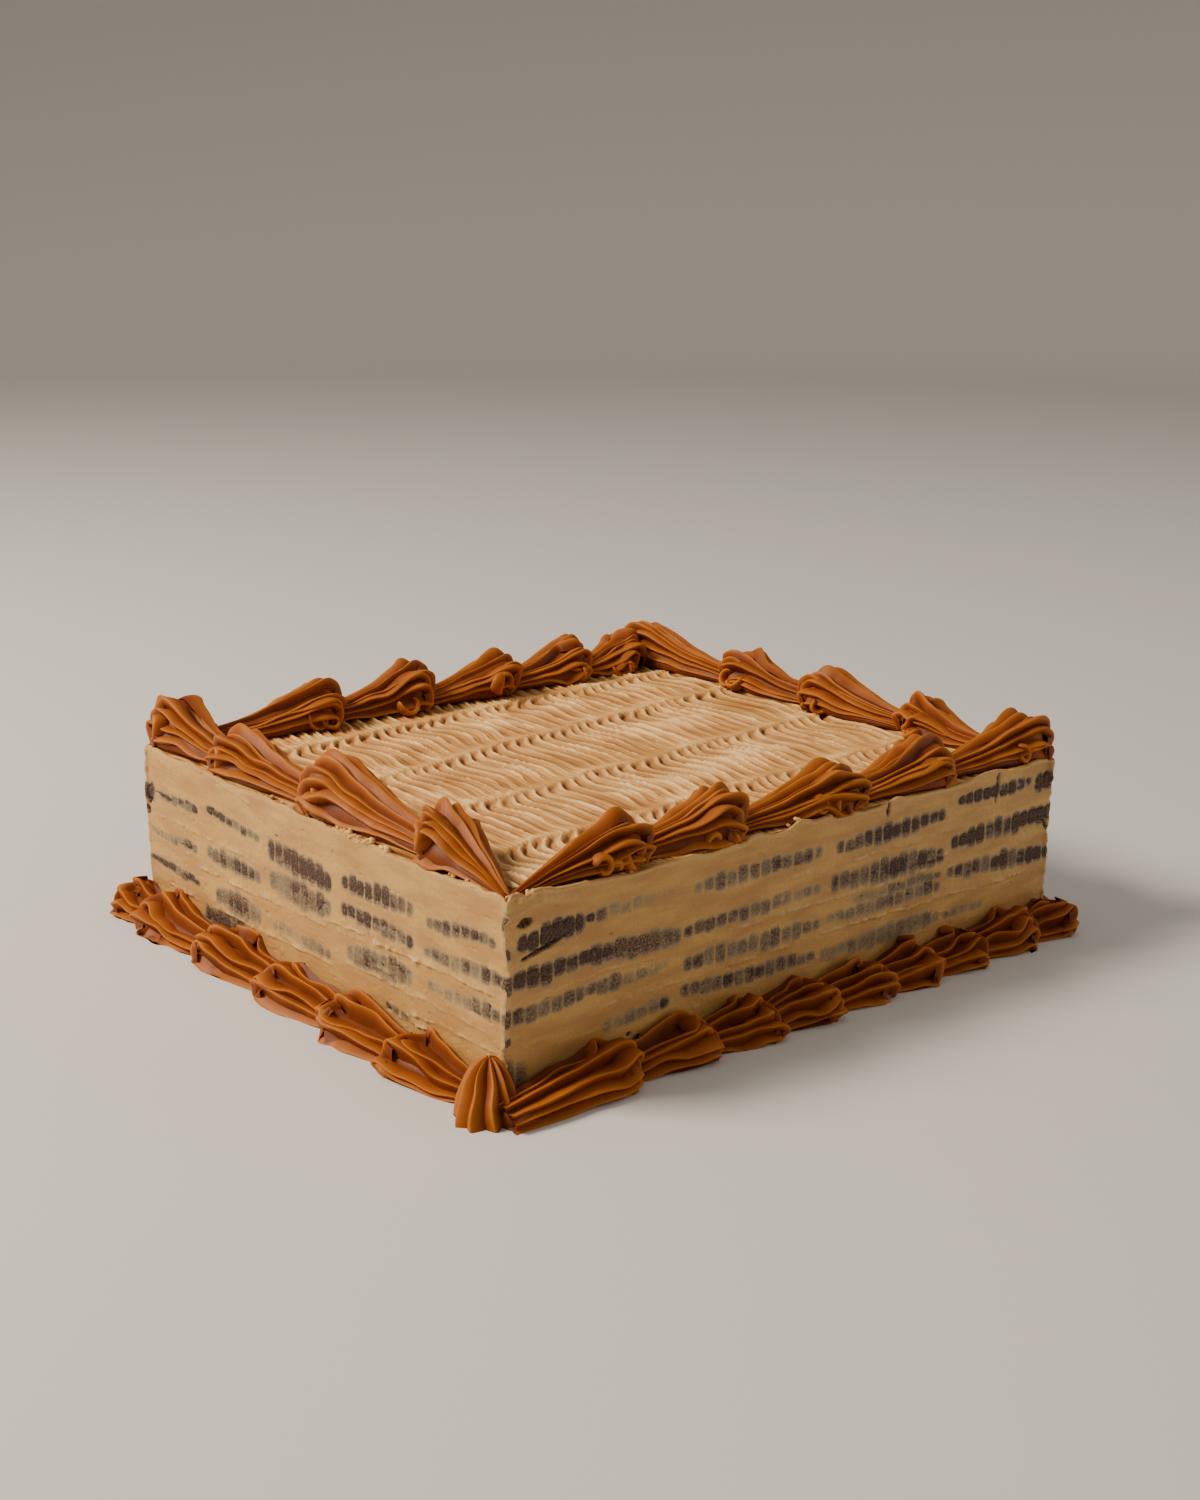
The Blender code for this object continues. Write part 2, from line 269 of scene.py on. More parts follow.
combedLook = {
    "valley": "#824A14", "middle": "#C88E48", "crest": "#EAC07E",
    "patches": 18, "patchShare": 0.4, "drag": (1.0, 16.0, 16.0), "grain": 0.8,
}


def makeCombedCream():
    # The same cream drawn with a fork on top, with fine tine lines along Y. Its colour is painted by the
    # combing's height: painted highlight on the crests and painted shade in the valleys.
    look = combedLook
    material, tree, shader = newMaterial("combed caramel cream")
    place = addNode(tree, "ShaderNodeTexCoord").outputs["Object"]
    rise = addNode(tree, "ShaderNodeAttribute", attribute_name="rise").outputs["Fac"]
    patches = addNode(tree, "ShaderNodeTexNoise",
                      {"Vector": place, "Scale": perMm(look["patches"]), "Detail": 2})
    mixed = addNode(tree, "ShaderNodeMath", {0: patches.outputs["Fac"], 1: look["patchShare"], 2: rise},
                    operation="MULTIPLY_ADD")
    # painted shade in the valleys and painted highlight on the crests, from the rise of the combing
    tone = addNode(tree, "ShaderNodeValToRGB", {"Fac": mixed.outputs[0]},
                   stops=[(0.3, look["valley"]), (0.68, look["middle"]), (1.0, look["crest"])])
    along = addNode(tree, "ShaderNodeMapping",
                    {"Vector": place, "Scale": [perMm(size) for size in look["drag"]]})
    drag = addNode(tree, "ShaderNodeTexNoise", {"Vector": along.outputs["Vector"], "Scale": 1, "Detail": 2})
    grain = addNode(tree, "ShaderNodeTexNoise",
                    {"Vector": place, "Scale": perMm(look["grain"]), "Detail": 2})
    dragBump = addNode(tree, "ShaderNodeBump",
                       {"Height": drag.outputs["Fac"], "Strength": 0.7, "Distance": 0.35 * mm})
    bump = addNode(tree, "ShaderNodeBump",
                   {"Height": grain.outputs["Fac"], "Normal": dragBump.outputs["Normal"], "Strength": 0.3,
                    "Distance": 0.2 * mm})
    fillInputs(tree, shader, {
        "Base Color": tone.outputs["Color"], "Normal": bump.outputs["Normal"], **creamFinish})
    return material


biscuitLook = {
    "dark": "#2C1C14", "mid": "#4A3428", "light": "#70543F", "pores": 1.1, "crumb": 1.0, "roughness": 0.8,
}


def makeBiscuit():
    # Baked cocoa biscuit seen on its cut edge: matt, dark and full of small pores.
    look = biscuitLook
    material, tree, shader = newMaterial("baked cocoa biscuit")
    place = addNode(tree, "ShaderNodeTexCoord").outputs["Object"]
    pores = addNode(tree, "ShaderNodeTexVoronoi", {"Vector": place, "Scale": perMm(look["pores"])})
    crumb = addNode(tree, "ShaderNodeTexNoise",
                    {"Vector": place, "Scale": perMm(look["crumb"]), "Detail": 4})
    tone = addNode(tree, "ShaderNodeValToRGB", {"Fac": crumb.outputs["Fac"]},
                   stops=[(0.3, look["dark"]), (0.5, look["mid"]), (0.72, look["light"])])
    poreBump = addNode(tree, "ShaderNodeBump",
                       {"Height": pores.outputs["Distance"], "Strength": 0.8, "Distance": 0.4 * mm},
                       invert=True)
    bump = addNode(tree, "ShaderNodeBump",
                   {"Height": crumb.outputs["Fac"], "Normal": poreBump.outputs["Normal"], "Strength": 0.8,
                    "Distance": 0.4 * mm})
    fillInputs(tree, shader, {
        "Base Color": tone.outputs["Color"], "Normal": bump.outputs["Normal"],
        "Roughness": look["roughness"]})
    return material


# groove is painted shade and crest painted highlight
dulceLook = {
    "groove": "#5C2606", "body": "#8C440A", "crest": "#B86C1C", "patches": 9, "patchShare": 0.3, "fine": 1.4,
    "roughness": (0.44, 0.6),
}


def makeDulce():
    # Thick baker's dulce de leche, piped: a satin brown paste that light goes a little way into. Its colour
    # is painted: paler on its thin crests, a painted highlight, and darker and redder in the grooves, painted
    # shade.
    look = dulceLook
    material, tree, shader = newMaterial("piped dulce de leche")
    place = addNode(tree, "ShaderNodeTexCoord").outputs["Object"]
    crest = addNode(tree, "ShaderNodeAttribute", attribute_name="crest").outputs["Fac"]
    patches = addNode(tree, "ShaderNodeTexNoise",
                      {"Vector": place, "Scale": perMm(look["patches"]), "Detail": 2})
    mixed = addNode(tree, "ShaderNodeMath", {0: patches.outputs["Fac"], 1: look["patchShare"], 2: crest},
                    operation="MULTIPLY_ADD")
    # painted shade in the grooves and hollows, painted highlight on the crests
    tone = addNode(tree, "ShaderNodeValToRGB", {"Fac": mixed.outputs[0]},
                   stops=[(0.12, look["groove"]), (0.5, look["body"]), (1.0, look["crest"])])
    fine = addNode(tree, "ShaderNodeTexNoise", {"Vector": place, "Scale": perMm(look["fine"]), "Detail": 3})
    smoothest, roughest = look["roughness"]
    gloss = addNode(tree, "ShaderNodeMapRange",
                    {"Value": fine.outputs["Fac"], "To Min": smoothest, "To Max": roughest})
    bump = addNode(tree, "ShaderNodeBump",
                   {"Height": fine.outputs["Fac"], "Strength": 0.25, "Distance": 0.25 * mm})
    fillInputs(tree, shader, {
        "Base Color": tone.outputs["Color"], "Roughness": gloss.outputs["Result"],
        "Normal": bump.outputs["Normal"], "Subsurface Weight": 0.08, "Subsurface Radius": (1.0, 0.35, 0.12),
        "Subsurface Scale": 1.4 * mm, "IOR": 1.46, "Specular IOR Level": 0.24})
    return material


scrapedCream = makeScrapedCream()
combedCream = makeCombedCream()
cocoaBiscuit = makeBiscuit()
dulce = makeDulce()
print("materials made")


# What shows of each biscuit through the scraped cream: layer, start and end along the side, height of
# its middle at both, half of its visible height, cream over its ribs at start, middle and end (below 0
# it is bare), and depth of its grooves
edgeMarks = {
    "front": [
        (5, 4, 34, 54.5, 57, 3.5, (-0.25, -0.2, 0.1), 1),
        (5, 32, 74, 57.5, 58.5, 2.2, (0.1, 0.18, 0.35), 1), (5, 80, 146, 57.6, 57.6, 3, (0, -0.2, 0), 1),
        (5, 151, 214, 57.2, 59, 3.1, (-0.25, -0.15, 0.1), 1),
        (5, 219, 266, 62.4, 62.6, 2.5, (-0.05, 0, 0), 1),
        (5, 266, 279, 61.2, 61, 3.2, (-0.1, -0.2, -0.1), 0.7),
        (4, -3, 36, 41.6, 43.4, 3.2, (-0.25, -0.2, -0.25), 0.9),
        (4, 30, 77, 44.2, 41.6, 3.4, (-0.3, -0.35, -0.1), 0.3),
        (4, 76, 146, 42.4, 44, 2.6, (-0.2, 0, 0.2), 0.9),
        (4, 149, 214, 43.8, 42.6, 4.4, (0.05, -0.1, -0.05), 0.7),
        (4, 216, 280, 46, 47.6, 3.4, (-0.2, -0.1, -0.2), 0.9),
        (3, -3, 34, 29.6, 31.4, 2.9, (-0.25, -0.15, -0.2), 0.8),
        (3, 32, 72, 31.6, 32.4, 2.5, (-0.25, 0.1, 0.4), 0.6),
        (3, 76, 146, 30.4, 29.8, 3.2, (0, -0.05, -0.1), 0.9),
        (3, 147, 213, 30.4, 30.2, 2.9, (0.1, 0, -0.05), 0.8),
        (3, 160, 213, 34.8, 35, 2, (0.3, 0.1, 0.15), 0.7),
        (3, 214, 280, 34.4, 30.4, 3.3, (-0.05, -0.15, -0.15), 0.8),
        (2, 39, 72, 17, 18.6, 2.6, (0.4, 0.2, 0.15), 0.8), (2, 75, 144, 20.2, 18, 2.9, (0.1, 0, 0), 0.8),
        (2, 144, 213, 16.4, 18.2, 3.6, (0.1, 0.1, 0.2), 0.4),
        (2, 213, 240, 17.4, 16.6, 2.4, (0.25, 0.25, 0.4), 1),
        (1, -3, 10, 10, 9, 5, (-0.2, -0.1, 0.2), 0.5),
    ],
    "left": [
        (5, 4, 45, 55.4, 51.4, 2.3, (0.35, 0, -0.1), 1), (5, 50, 97, 53.6, 51, 3.2, (0, -0.2, 0.05), 1),
        (5, 102, 147, 48.6, 51, 4.2, (-0.15, -0.35, -0.15), 0.7),
        (5, 151, 194, 52.4, 54.6, 1.8, (0.15, 0.25, 0.1), 1),
        (5, 199, 232, 51.6, 51.8, 2, (0.35, 0.2, 0.1), 0.7),
        (5, 233, 244, 50.8, 50.8, 3.6, (-0.1, -0.25, -0.25), 0.6),
        (4, -3, 47, 43, 40.4, 2.8, (-0.15, 0.2, 0.25), 0.8),
        (4, 51, 98, 41.2, 41, 2.8, (0.05, -0.1, 0.15), 0.8),
        (4, 102, 147, 38, 38.6, 4.8, (0, 0.05, 0.15), 0.3),
        (4, 151, 195, 37.2, 36.8, 3.2, (0.1, 0.3, 0.4), 0.9),
        (4, 200, 240, 35.4, 35.2, 2, (0.2, 0.35, 0.5), 0.3),
        (3, -3, 45, 30.6, 28.6, 2.6, (-0.1, 0.2, 0.4), 0.9),
        (3, 51, 95, 28.6, 24.8, 4.2, (0.3, 0.15, 0.2), 0.5),
        (3, 103, 146, 21, 20.8, 2.6, (0.3, 0.42, 0.45), 1),
        (3, 151, 189, 20.4, 20.4, 4.2, (0.25, 0.2, 0.3), 0.4),
        (3, 199, 242, 21.4, 22.6, 1.8, (0.1, 0, 0.1), 0.2),
        (2, 50, 70, 12.4, 12.8, 1.4, (0.3, 0.2, 0), 1), (2, 78, 98, 9, 9.4, 2.2, (0.4, 0.3, 0.4), 0.6),
        (2, 151, 198, 10.6, 10.8, 4.2, (0.2, 0.12, 0.2), 0.4),
    ],
}
edgeLook = {
    "ribPitch": 5.4, "halfThickness": 3.25, "cornerRadius": 3.0, "deepest": 4.0,
    "ribRise": 0.5, "ribStretch": 0.16, "ribCover": 0.16, "ribShift": 0.05,  # how far single ribs differ
    "valley": 0.75, "valleyCorner": 0.5, "rounding": 0.4, "endRounding": 1.2,
    "pores": ((0.14, 1.2, 3), (0.1, 3.5, 4)),
}
layers = range(1, 6)
layerMiddles = [6.2, 18.4, 30.6, 42.6, 54.8]
layerRisesRight = [-0.2, -0.8, 1.4, 3.4, 6.7]
layerRisesBack = [-2.4, -6.2, -8.0, -6.0, -4.2]
biscuitsOn = {"front": 4, "left": 5, "back": 4, "right": 5}
hiddenMarks = {
    "seed": 7, "halfJoint": 2, "wander": 1.2, "lowest": 4.0, "halfHeight": (2.2, 3.8),
    "bare": (-0.25, -0.1, 0.05, 0.15, 0.3, 0.45), "cover": (-0.15, 0.2), "grooves": (0.4, 0.8, 1.0),
}


def layerHeight(layer, x, y):
    index = layer - 1
    return (layerMiddles[index] + layerRisesRight[index] * (x - blockLow[0]) / length
            + layerRisesBack[index] * (y - blockLow[1]) / depth)


def randomMarks(side, draw):
    # the sides that the photo doesn't show, scraped as unevenly as the two that it does
    marks = []
    look, count, span = hiddenMarks, biscuitsOn[side], sides[side][3]
    joint, wander = look["halfJoint"], look["wander"]
    for layer in layers:
        for i in range(count):
            start, end = i * span / count + joint, (i + 1) * span / count - joint
            ends = onSide(side, np.array([start, end]), 0.0, 0.0)
            low, high = (max(layerHeight(layer, p[0], p[1]) + draw.uniform(-wander, wander), look["lowest"])
                         for p in ends)
            bare = draw.choice(look["bare"])
            covers = tuple(bare + draw.uniform(*look["cover"]) for _ in range(3))
            half, groove = draw.uniform(*look["halfHeight"]), draw.choice(look["grooves"])
            marks.append((layer, start, end, low, high, half, covers, groove))
    return marks


hiddenDraw = random.Random(hiddenMarks["seed"])
edgeMarks["back"] = randomMarks("back", hiddenDraw)
edgeMarks["right"] = randomMarks("right", hiddenDraw)


def edgeDepth(side, number, s, z):
    # how far behind the flat of the side a biscuit's edge lies, at a place on the side
    _, start, end, low, high, half, covers, groove = edgeMarks[side][number]
    look = edgeLook
    ribs = max(round((end - start) / look["ribPitch"]), 1)
    t = (s - start) / (end - start)
    place = np.clip(t, 0, 0.9999) * ribs
    rib = place.astype(int)
    draws = np.random.RandomState(1000 + 37 * number + len(side)).uniform(-1, 1, (4, ribs))
    rise, stretch, extra, shift = draws[:, rib]
    across = np.abs(place - rib - 0.5 + look["ribShift"] * shift) * 2
    middle = low + (high - low) * np.clip(t, 0, 1) + look["ribRise"] * rise
    taper = 1 - 0.4 * np.abs(2 * np.clip(t, 0, 1) - 1) ** 3
    tall = 1.02 * half * (1 + look["ribStretch"] * stretch) * taper
    away = np.abs(z - middle) / tall
    cover = np.interp(t, (0, 0.5, 1), covers) + look["ribCover"] * extra
    deep = groove * (1 - 0.45 * smoothStep(0, 0.3, cover))  # cream fills the grooves
    ends = np.clip(1 - np.minimum(s - start, end - s) / 3, 0, 1.6)
    lump = deep * (look["valley"] * across ** 7 + look["valleyCorner"] * (across * away) ** 4)
    rounded = look["rounding"] * away ** 3.8 + look["endRounding"] * ends ** 2
    return cover - 0.08 + lump + rounded + noiseStack(onSide(side, s, 0.0, z), look["pores"])


def biscuitMiddle(side, layer, s):
    # a layer's height along a side: that of its marks, and its slope where nothing shows
    points = onSide(side, s, 0.0, 0.0)
    middle = layerHeight(layer, points[:, 0], points[:, 1])
    for markLayer, start, end, low, high, *_ in edgeMarks[side]:
        if markLayer == layer:
            t = (s - start) / (end - start)
            middle = np.where((t > 0) & (t < 1), low + (high - low) * t, middle)
    return middle


wallLook = {
    "cell": {"front": (0.62, 0.42), "left": (0.62, 0.42), "back": (0.8, 0.55), "right": (0.8, 0.55)},
    "thickness": 5.0, "cornerRadius": 1.6, "rim": 69.2, "faceShare": 0.92, "cornerReach": 3.0,
    "lip": 1.8, "lipRise": 0.7, "lipShare": 0.75, "lipDrop": 5.0,  # what curls in over the rim
    "bareSunk": 0.25,  # a bare biscuit lies this much behind the cream round it
    "nickOut": 0.35, "nickIn": 0.6,  # small torn places that stand out or are sunk
    # stepHighlight sets the painted highlight along the top edge of each scraper step
    "stepOut": 3.4, "stepHighlight": 3.6, "stepUnder": 0.3, "stepOver": 1.8,  # the scraper's steps, sharp below
    # paleCorner paints the ragged corner paler, rimHighlight paints a highlight along the rim's edge
    "breakRag": (0.35, 2.2), "paleCorner": 0.7, "rimHighlight": 0.6,
}
wallNoise = {  # strength, size in mm and seed of each layer of noise
    "level": ((0.07, (14, 14, 2.6), 11), (0.14, (30, 30, 5.0), 12)),
    "swell": ((0.4, 45, 13), (0.2, 9, 14)),
    "nicks": ((1, (2.6, 2.6, 1.0), 18),),
    "torn": ((0.8, (4.5, 4.5, 3.0), 19), (0.4, 1.5, 20)),
    "rim": ((0.6, 24, 31), (0.6, 9, 32)),
    "rimRag": ((0.7, 3.4, 33), (0.5, 1.6, 37)),
}
# Steps left by the scraper: side, start, end, height at both, how far it stands out
scraperLips = [
    ("left", 2, 108, 37.0, 34.0, 0.45), ("left", 60, 205, 33.0, 27.5, 0.3),
    ("left", 4, 60, 17.0, 15.0, 0.35), ("left", 100, 230, 17.0, 14.0, 0.35),
    ("left", 0, 40, 46.5, 45.0, 0.25), ("left", 150, 236, 42.0, 43.0, 0.25),
    ("left", 10, 100, 23.0, 20.5, 0.3), ("front", 70, 215, 38.5, 37.5, 0.25),
    ("front", 20, 140, 24.0, 25.0, 0.25), ("front", 140, 270, 25.5, 24.5, 0.3),
    ("front", 0, 70, 36.0, 37.0, 0.3), ("front", 120, 260, 50.5, 52.0, 0.2),
    ("back", 20, 180, 36.0, 33.0, 0.3), ("back", 90, 260, 20.0, 22.0, 0.3),
    ("right", 10, 150, 40.0, 38.0, 0.3), ("right", 80, 220, 22.0, 24.0, 0.3),
    ("front", 0.5, 17, 64.2, 67.4, 0.5), ("front", 13, 22, 68.4, 65.8, 0.4),
]
smallLips = {"seed": 23, "each": 9, "height": (8, 66), "reach": (6, 34), "slope": (-3, 3), "rise": (0.1, 0.3)}


def addSmallLips():
    draw = random.Random(smallLips["seed"])
    for side, (_, _, _, span) in sides.items():
        for _ in range(smallLips["each"]):
            start, low = draw.uniform(0, span - 20), draw.uniform(*smallLips["height"])
            end = min(start + draw.uniform(*smallLips["reach"]), span - 3)
            high = low + draw.uniform(*smallLips["slope"])
            scraperLips.append((side, start, end, low, high, draw.uniform(*smallLips["rise"])))


addSmallLips()

# Holes and cracks: side, place along, height, half length, half height, lean in degrees, depth
wallBreaks = [
    ("front", 8, 61.6, 3.4, 1.4, 8, 2.2), ("front", 15, 51.2, 8, 0.8, 14, 2),
    ("front", 24.5, 54.6, 2.6, 1.3, 30, 1.4), ("front", 180, 66.5, 2.6, 0.7, 85, 1.5),
    ("front", 243.5, 64.5, 5.2, 0.8, 84, 1.6), ("front", 273.5, 61.5, 2.8, 2.4, 20, 1.5),
    ("front", 275.5, 42, 3.4, 0.8, -62, 1.3), ("front", 52.5, 11, 1.2, 1, 0, 1),
    ("front", 56.5, 9, 1.3, 1, 0, 1), ("front", 0.8, 52.5, 1, 2, 20, 1.1),
    ("front", 1.2, 22, 0.9, 1.4, 0, 1), ("left", 67.5, 12.6, 1.6, 0.9, 40, 1.2),
    ("left", 238.5, 50, 1.8, 3.6, 10, 1.6), ("left", 226, 51.5, 8, 0.6, 3, 0.9),
    ("left", 1, 63, 0.8, 2.6, 0, 0.9), ("left", 189, 55.2, 2.4, 0.7, -12, 0.9),
    ("left", 240.5, 43, 1.5, 2, 0, 1.4), ("left", 139.5, 57, 0.8, 0.5, 0, 0.9),
]
# Flakes of cream that stand up from the rim: side, start, end, height
rimFlakes = [
    ("front", 0, 9, 2.0), ("front", 9, 21, 1.5), ("front", 60, 84, 0.8), ("front", 104, 118, 1.2),
    ("front", 128, 152, 2.6), ("front", 176, 190, 1.2), ("front", 232, 250, 1.6), ("front", 262, 277, 1.4),
    ("left", 1, 11, 1.3), ("left", 13, 24, 1.1), ("left", 44, 60, 1.0), ("left", 66, 104, 0.9),
    ("left", 140, 158, 1.1), ("left", 196, 214, 1.2), ("back", 30, 60, 1.6), ("back", 130, 150, 1.3),
    ("right", 60, 84, 1.5), ("right", 180, 196, 1.1),
]


def scrapedRelief(side, s, z):
    # the cream's own surface, in mm behind the flat of the side, and how pale it is painted: pale torn
    # ridges, and a painted highlight along the top edge of each scraper step
    points = onSide(side, s, 0.0, z)
    look = wallLook
    nicks = noiseStack(points, wallNoise["nicks"])
    proud, sunk = smoothStep(0.7, 0.95, nicks), smoothStep(0.75, 0.95, -nicks)
    level = noiseStack(points, wallNoise["level"]) - look["nickOut"] * proud + look["nickIn"] * sunk
    relief = noiseStack(points, wallNoise["swell"]) + level
    torn = (0.45 + noiseStack(points, wallNoise["torn"])) * (0.8 + 0.5 * lineNoise(s, 12, 17))
    # nicks that stand out are painted paler: pale torn cream and painted highlight
    ridge = 0.4 * proud
    for lipSide, start, end, low, high, rise in scraperLips:
        if lipSide == side:
            t = (s - start) / (end - start)
            line = low + (high - low) * t + 0.8 * lineNoise(s, 22, 15 + start)
            line = line + 0.5 * lineNoise(s, 4, 16 + low)
            fade = smoothStep(0, 0.08, t) * smoothStep(1, 0.9, t) * np.clip(torn, 0, 1.4)
            above = z - line
            step = np.where(above < 0, np.exp(above / look["stepUnder"]), np.exp(-above / look["stepOver"]))
            relief = relief - look["stepOut"] * rise * fade * step
            # painted highlight: a pale line along the top edge of the step, where it catches the light
            pale = min(look["stepHighlight"] * rise, 1) * fade * np.exp(-(above - 0.25) ** 2 / 0.45)
            ridge = np.maximum(ridge, pale)
    return relief, ridge


def breakDepth(side, s, z):
    cut = np.zeros(len(s))
    for breakSide, middle, high, long, tall, lean, deep in wallBreaks:
        if breakSide == side:
            a = math.radians(lean)
            x = ((s - middle) * math.cos(a) + (z - high) * math.sin(a)) / long
            y = ((z - high) * math.cos(a) - (s - middle) * math.sin(a)) / tall
            ragged = noiseLayer(onSide(side, s, 0.0, z), (*wallLook["breakRag"], 21 + middle))
            cut = np.maximum(cut, deep * smoothStep(1.25, 0.75, np.sqrt(x * x + y * y) + ragged))
    return cut


def cornerRag(z, seed):
    # the two sides at a corner share this ragged edge: how far it stands out, and aside
    proud = 0.5 + 0.8 * lineNoise(z, 9.0, seed) + 0.5 * lineNoise(z, 2.2, seed + 1)
    rough = smoothStep(-0.1, 0.7, lineNoise(z, 9, seed + 5))
    aside = 1.1 * lineNoise(z, 11, seed + 2) + 1.0 * lineNoise(z, 2.3, seed + 4) * rough
    jagged = lineNoise(z, 0.9, seed + 6) * rough
    return np.stack([proud + 0.5 * jagged, aside + 0.4 * jagged])


# for the near and the far end of each side
cornerSeeds = {"front": (50, 53), "left": (50, 56), "right": (53, 59), "back": (56, 59)}


def rimHeight(side, s):
    # the ragged edge that the scraper leaves at the top, with flakes that stand up in places
    ragged = noiseStack(onLine(s), wallNoise["rimRag"]) * smoothStep(0.0, 0.7, lineNoise(s, 14, 34))
    rim = wallLook["rim"] + noiseStack(onLine(s), wallNoise["rim"]) + ragged
    for flakeSide, start, end, rise in rimFlakes:
        if flakeSide == side:
            t = np.clip((s - start) / (end - start), 0, 1)
            rim = rim + rise * np.sin(math.pi * t) ** 0.7 * (0.75 + 0.4 * lineNoise(s, 3.5, 38))
    return rim


def wallPlace(side):
    look, radius, span = wallLook, wallLook["cornerRadius"], sides[side][3]
    arc = radius * math.pi / 4
    total = span - 2 * radius + 2 * arc

    def place(u, v):
        q = u * total
        fromEnd = np.minimum(q, total - q)
        far = q > total / 2
        bend = math.pi / 4 * np.clip(1 - fromEnd / arc, 0, 1)
        s = np.where(fromEnd < arc, radius - radius * np.sin(bend), radius + fromEnd - arc)
        s = np.where(far, span - s, s)
        inward = radius - radius * np.cos(bend)
        rim = rimHeight(side, s)
        face = np.clip(v / look["faceShare"], 0, 1)
        over = np.clip((v - look["faceShare"]) / (1 - look["faceShare"]), 0, 1)
        z = face * rim
        relief, ridge = scrapedRelief(side, s, z)
        cut = breakDepth(side, s, z)
        biscuit = np.full(len(s), 3.0)
        for number, (_, start, end, low, high, *_) in enumerate(edgeMarks[side]):
            near = (s > start - 3) & (s < end + 3) & (np.abs(z - (low + high) / 2) < 13)
            biscuit[near] = np.minimum(biscuit[near], edgeDepth(side, number, s[near], z[near]))
        film = biscuit - relief
        surface = relief + look["bareSunk"] * smoothStep(0.1, -0.15, film) + cut
        film = np.minimum(film, 1.0 - 1.4 * smoothStep(0.2, 0.9, cut))
        nearSeed, farSeed = cornerSeeds[side]
        rag, aside = np.where(far, cornerRag(z, farSeed), cornerRag(z, nearSeed))
        corner = smoothStep(look["cornerReach"], 0.0, fromEnd)
        out = -(surface * (1 - corner) - rag * corner)
        # over the rim: a thin uneven lip that curls in behind the side
        thick = look["lip"] * (1 + 0.4 * lineNoise(s, 9, 35))
        rise = look["lipRise"] * (1 + 0.8 * lineNoise(s, 13, 36))
        turn = np.clip(over / look["lipShare"], 0, 1) * math.pi
        back = thick / 2 * (1 - np.cos(turn))
        drop = look["lipDrop"] * np.clip((over - look["lipShare"]) / (1 - look["lipShare"]), 0, 1)
        z = z + np.maximum(rise, 0.1) * np.sin(turn) - drop
        shift = out - back * (over > 0)
        tilt = np.where(far, 1, -1) * np.sin(bend)
        points = onSide(side, s + shift * tilt, shift * np.cos(bend) - inward, z)
        slant = np.where(far == (side in ("front", "left")), 1, -1)
        points[:, 0] += 0.7 * aside * corner
        points[:, 1] += 0.7 * aside * corner * slant
        # a painted highlight along the rim's edge, and the ragged corner painted paler: pale cream and
        # painted highlight
        rimHighlight = look["rimHighlight"] * smoothStep(1.2, 0.2, rim - z) * (over == 0)
        ridge = np.maximum(ridge, look["paleCorner"] * smoothStep(0.4, 1, corner) + rimHighlight)
        return points, {"film": film, "ridge": np.clip(ridge, 0, 1)}

    return place


def wallBacking(side):
    thickness = wallLook["thickness"]
    start, along, _, span = sides[side]

    def backing(point):
        x, y = point.x / mm - start[0], point.y / mm - start[1]
        s = min(max(x * along[0] + y * along[1], thickness), span - thickness)
        place = onSide(side, np.array([s]), -thickness, np.array([point.z / mm]))[0]
        return Vector(place) * mm

    return backing


def buildWalls():
    for side in sides:
        across, up = wallLook["cell"][side]
        columns, rows = round(sides[side][3] / across), round(height / up / wallLook["faceShare"])
        mesh = wrapGrid(f"cream_side_{side}", columns, rows, wallPlace(side))
        closeMesh(mesh, wallBacking(side), merge=0.001)
        addPiece(f"cream_side_{side}", mesh, scrapedCream, ["cream"])
        print("side", side, "scraped")


buildWalls()


biscuitRows = {"step": 0.6, "rows": 10, "floor": 0.3, "squareness": 0.8, "edgeRounding": 1.5}


def biscuitPlace(layer):
    # a layer's edge, once round the cake
    order = (("front", False), ("right", False), ("back", True), ("left", True))
    radius, deepest = edgeLook["cornerRadius"], edgeLook["deepest"]
    inset = radius * (1 - math.sqrt(0.5))

    def place(u, v):
        travelled = u * 2 * (length + depth) * 0.9999999
        points = np.zeros((len(u), 3))
        for side, backwards in order:
            span = sides[side][3]
            here = (travelled >= 0) & (travelled < span)
            s = travelled[here]
            s = np.clip(span - s if backwards else s, inset, span - inset)
            w = v[here] * 2 - 1
            up = edgeLook["halfThickness"] * np.sign(w) * np.abs(w) ** biscuitRows["squareness"]
            z = np.maximum(biscuitMiddle(side, layer, s) + up, biscuitRows["floor"])
            found = np.full(len(s), deepest)
            for number, (markLayer, start, end, *_) in enumerate(edgeMarks[side]):
                if markLayer == layer:
                    near = (s > start - 2) & (s < end + 2)
                    found[near] = np.minimum(found[near], edgeDepth(side, number, s[near], z[near]))
            found = found + biscuitRows["edgeRounding"] * np.abs(w) ** 6
            fromEnd = np.minimum(s, span - s)
            corner = radius - np.sqrt(radius ** 2 - np.clip(radius - fromEnd, 0, radius) ** 2)
            points[here] = onSide(side, s, -np.minimum(np.maximum(found, corner), deepest), z)
            travelled = np.where(here, -1, travelled - span)
        return points, {}

    return place


def buildBiscuits():
    columns = round(2 * (length + depth) / biscuitRows["step"])
    for layer in layers:
        mesh = wrapGrid(f"biscuits_{layer}", columns, biscuitRows["rows"], biscuitPlace(layer))
        closeMesh(mesh, merge=0.001)
        addPiece(f"biscuits_{layer}", mesh, cocoaBiscuit, [f"biscuit_layer_{layer}"])
    print("biscuit layers laid")


buildBiscuits()


